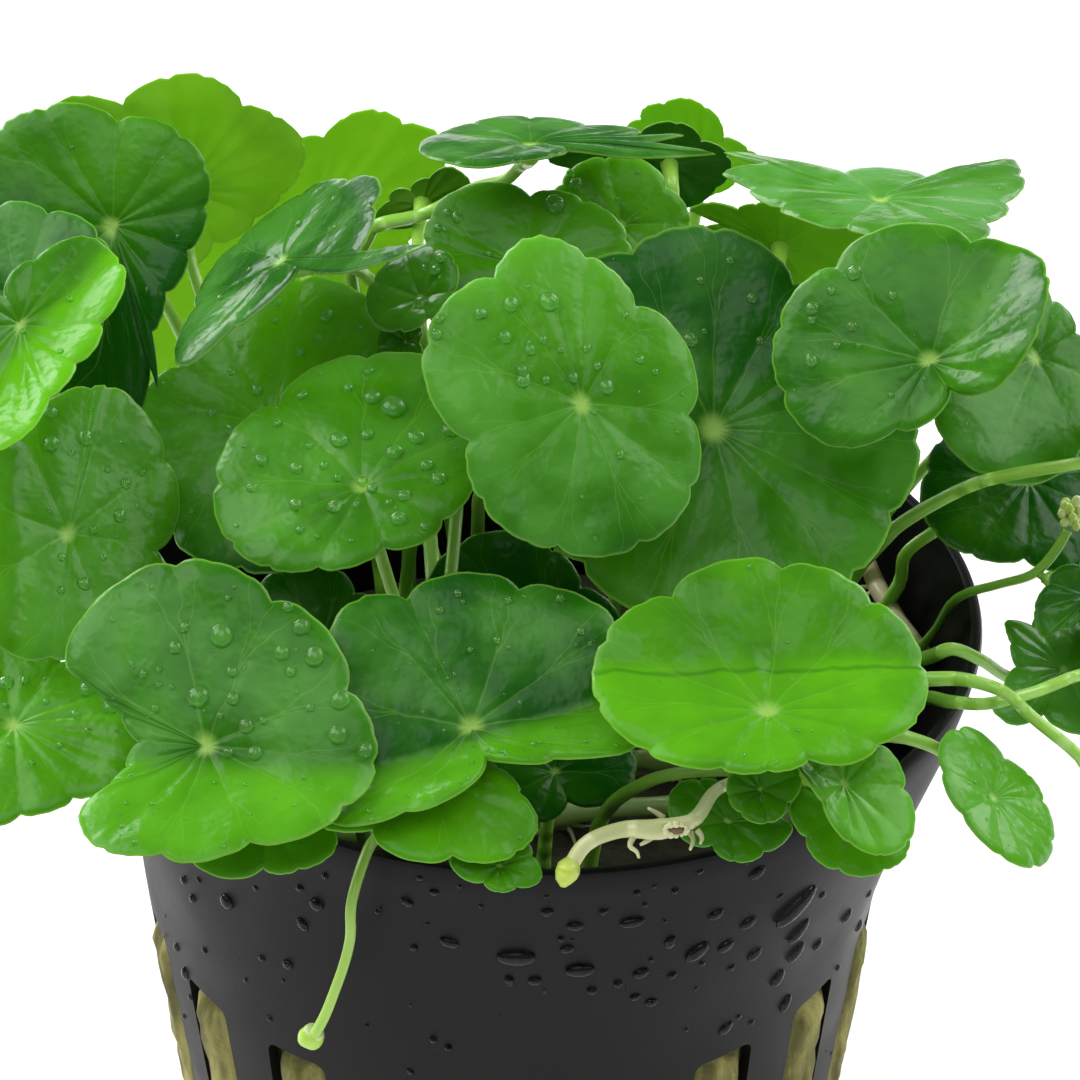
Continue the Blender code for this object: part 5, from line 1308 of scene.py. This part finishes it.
# drops on the pot: across, down, half width in pixels, how long for its width, and slant in degrees
potDrops = [(228, 901, 9, 1, 0), (193, 898, 5, 1, 0), (149, 907, 5, 1, 0), (300, 888, 5, 1, 0),
            (317, 904, 8, 1, 0), (325, 876, 4, 1, 0), (303, 924, 7, 1.5, -60), (288, 964, 6, 1, 0),
            (186, 973, 7, 1.5, 80), (407, 902, 6, 1.6, -30), (449, 942, 8, 1.6, -15),
            (516, 957, 14, 1.9, 0), (547, 912, 6, 1.3, 10), (580, 970, 11, 1.8, 0), (575, 926, 7, 1.5, 0),
            (632, 922, 9, 2, 5), (697, 951, 11, 1.8, 40), (641, 973, 7, 1.5, 20), (670, 942, 7, 1.4, 70),
            (726, 945, 8, 1.6, 35), (748, 922, 8, 1.6, 30), (716, 914, 7, 1.6, 25), (757, 872, 8, 1.5, 35),
            (795, 905, 18, 2.4, 37), (798, 930, 11, 2.2, 45), (754, 953, 8, 1.5, 45),
            (777, 977, 9, 1.6, 60), (785, 1003, 8, 1.8, 65), (795, 951, 10, 1.7, 45),
            (817, 944, 6, 1.4, 50), (846, 915, 7, 1.5, 40), (725, 1027, 8, 1.5, 45), (651, 1002, 6, 1.3, 0),
            (618, 984, 5, 1, 0), (592, 991, 5, 1.2, 0), (635, 997, 5, 1.4, 10), (509, 980, 5, 1, 0),
            (535, 981, 6, 1.4, 0), (602, 912, 4, 1, 0), (637, 893, 4, 1, 20), (675, 891, 4, 1, 0),
            (700, 869, 4, 1.4, 20), (645, 905, 3, 1, 0), (561, 939, 4, 1, 0), (567, 949, 6, 1.4, 10),
            (651, 960, 3, 1, 0), (672, 975, 5, 1.2, 20), (702, 963, 4, 1, 0), (731, 967, 5, 1.2, 40),
            (822, 895, 4, 1.3, 60), (780, 896, 4, 1.2, 40), (858, 925, 6, 1.4, 40), (868, 893, 5, 1.2, 30),
            (738, 1016, 4, 1, 0), (751, 1022, 4, 1, 0), (481, 906, 3, 1, 0), (434, 892, 5, 1.2, 0),
            (420, 878, 4, 1, 0), (460, 886, 3, 1, 0), (378, 912, 3, 1, 0), (256, 888, 4, 1.2, 60),
            (205, 950, 4, 1, 0), (177, 947, 5, 1.2, 80), (262, 958, 4, 1, 0), (433, 1040, 4, 1, 0),
            (448, 1048, 4, 1, 0), (414, 948, 4, 1.2, 20), (510, 983, 4, 1, 0), (246, 980, 3, 1, 0),
            (270, 1018, 4, 1, 0), (184, 880, 5, 1.4, 80)]
potMist = dict(count=260, small=0.07, large=0.24, seed=23)


def wallPoint(bearing, height):  # the pot's outer wall at that height in mm, and its normal there
    turn = math.radians(bearing)
    x, y, radius = math.sin(turn), -math.cos(turn), wallRadius(height)
    return pushRim(Vector((radius * x, radius * y, height)) * mm), Vector((x, y, -0.1)).normalized()


def seenWall(pixel):  # the point of the front wall that the picture shows at the pixel
    bearing, height = 0.0, 35.0
    for _ in range(14):
        here = seenPixel(wallPoint(bearing, height)[0])
        byTurn = seenPixel(wallPoint(bearing + 0.1, height)[0]) - here
        byHeight = seenPixel(wallPoint(bearing, height + 0.1)[0]) - here
        miss = Vector(pixel) - here
        scale = byTurn.x * byHeight.y - byHeight.x * byTurn.y
        bearing += max(-20, min(20, 0.1 * (miss.x * byHeight.y - miss.y * byHeight.x) / scale))
        height += max(-8, min(8, 0.1 * (byTurn.x * miss.y - byTurn.y * miss.x) / scale))
        bearing, height = max(-80, min(80, bearing)), max(1, min(49, height))
    return wallPoint(bearing, height)


def inSlot(point):  # over a slot, or on or near the panel in front
    x, y, height = (value / mm for value in point)
    near = abs(x) < potShape["panelHead"] / 2 + 0.3 and height < potShape["panelTop"] + 0.5
    return slotBulge(x, y, height) > 0 or near and y < 0


def makePotDrops():
    draw = random.Random(potMist["seed"])
    bm = bmesh.new()
    for across, down, size, stretch, slant in potDrops:
        point, normal = seenWall((across, down))
        if not inSlot(point):
            lean, up = math.radians(slant), Vector((0, 0, 1))
            side = up.cross(normal).normalized() * math.cos(lean) + up * math.sin(lean)
            addDrop(bm, point, normal, size * pixelWidth(point) / stretch ** 0.2, stretch ** 0.75, side)
    for _ in range(potMist["count"]):
        point, normal = wallPoint(draw.uniform(-180, 180), draw.uniform(3, 49))
        if not inSlot(point):
            size = potMist["small"] + (potMist["large"] - potMist["small"]) * draw.random() ** 2
            stretch = draw.uniform(1, 1.4)
            side = Vector((draw.uniform(-1, 1), draw.uniform(-1, 1), 0.6))
            addDrop(bm, point, normal, size * mm, stretch, side)
    finishPiece("water_on_pot", bm, (paints["darkWater"],), "pot_plastic")


makeLeafDrops()
makePotDrops()
print("water drops placed")

# Floor, light, and the last lines

studio = dict(
    floor=(0.93, 0.93, 0.93), floorPale=(0.95, 0.95, 0.95), room=(0.97, 0.99, 1.0), roomLight=0.34,
    aim=(0, 0, 0.06),  # where the lamps look
    lamps=[dict(name="softboxLeft", spot=(-0.5, 0.0, 0.6), size=0.5, power=3.0, color=(1, 1, 0.98)),
           dict(name="softboxRight", spot=(0.5, 0.05, 0.6), size=0.5, power=2.6, color=(1, 1, 0.98)),
           dict(name="softboxFront", spot=(-0.1, -0.33, 0.75), size=0.45, power=1.3, color=(0.97, 0.99, 1)),
           dict(name="softboxBackLeft", spot=(-0.45, 0.5, 0.4), size=0.4, power=4.0, color=(1, 1, 1)),
           dict(name="softboxBackRight", spot=(0.5, 0.5, 0.4), size=0.4, power=2.5, color=(1, 1, 1))])


def makeStudio():
    bm = bmesh.new()
    bmesh.ops.create_grid(bm, x_segments=1, y_segments=1, size=6)
    mesh = bpy.data.meshes.new("floor")
    bm.to_mesh(mesh)
    bm.free()
    paint, tree, shader = newMaterial("paleFloor")
    tone = mixNode(tree, noiseNode(tree, 4, 0), studio["floor"], studio["floorPale"])
    tree.links.new(tone, shader.inputs["Base Color"])
    shader.inputs["Roughness"].default_value = 0.9
    mesh.materials.append(paint)
    floor = bpy.data.objects.new("floor", mesh)
    bpy.context.scene.collection.objects.link(floor)
    room = bpy.data.worlds.new("room")
    room.use_nodes = True
    light = room.node_tree.nodes["Background"]
    light.inputs["Color"].default_value = (*studio["room"], 1)
    light.inputs["Strength"].default_value = studio["roomLight"]
    bpy.context.scene.world = room
    for lamp in studio["lamps"]:
        data = bpy.data.lights.new(lamp["name"], "AREA")
        data.shape = "SQUARE"
        data.size = lamp["size"]
        data.energy = lamp["power"]
        data.color = lamp["color"]
        made = bpy.data.objects.new(lamp["name"], data)
        made.location = lamp["spot"]
        ahead = Vector(studio["aim"]) - Vector(lamp["spot"])
        made.rotation_euler = ahead.to_track_quat("-Z", "Y").to_euler()
        bpy.context.scene.collection.objects.link(made)
    bpy.context.scene.view_settings.view_transform = "Standard"


makeStudio()
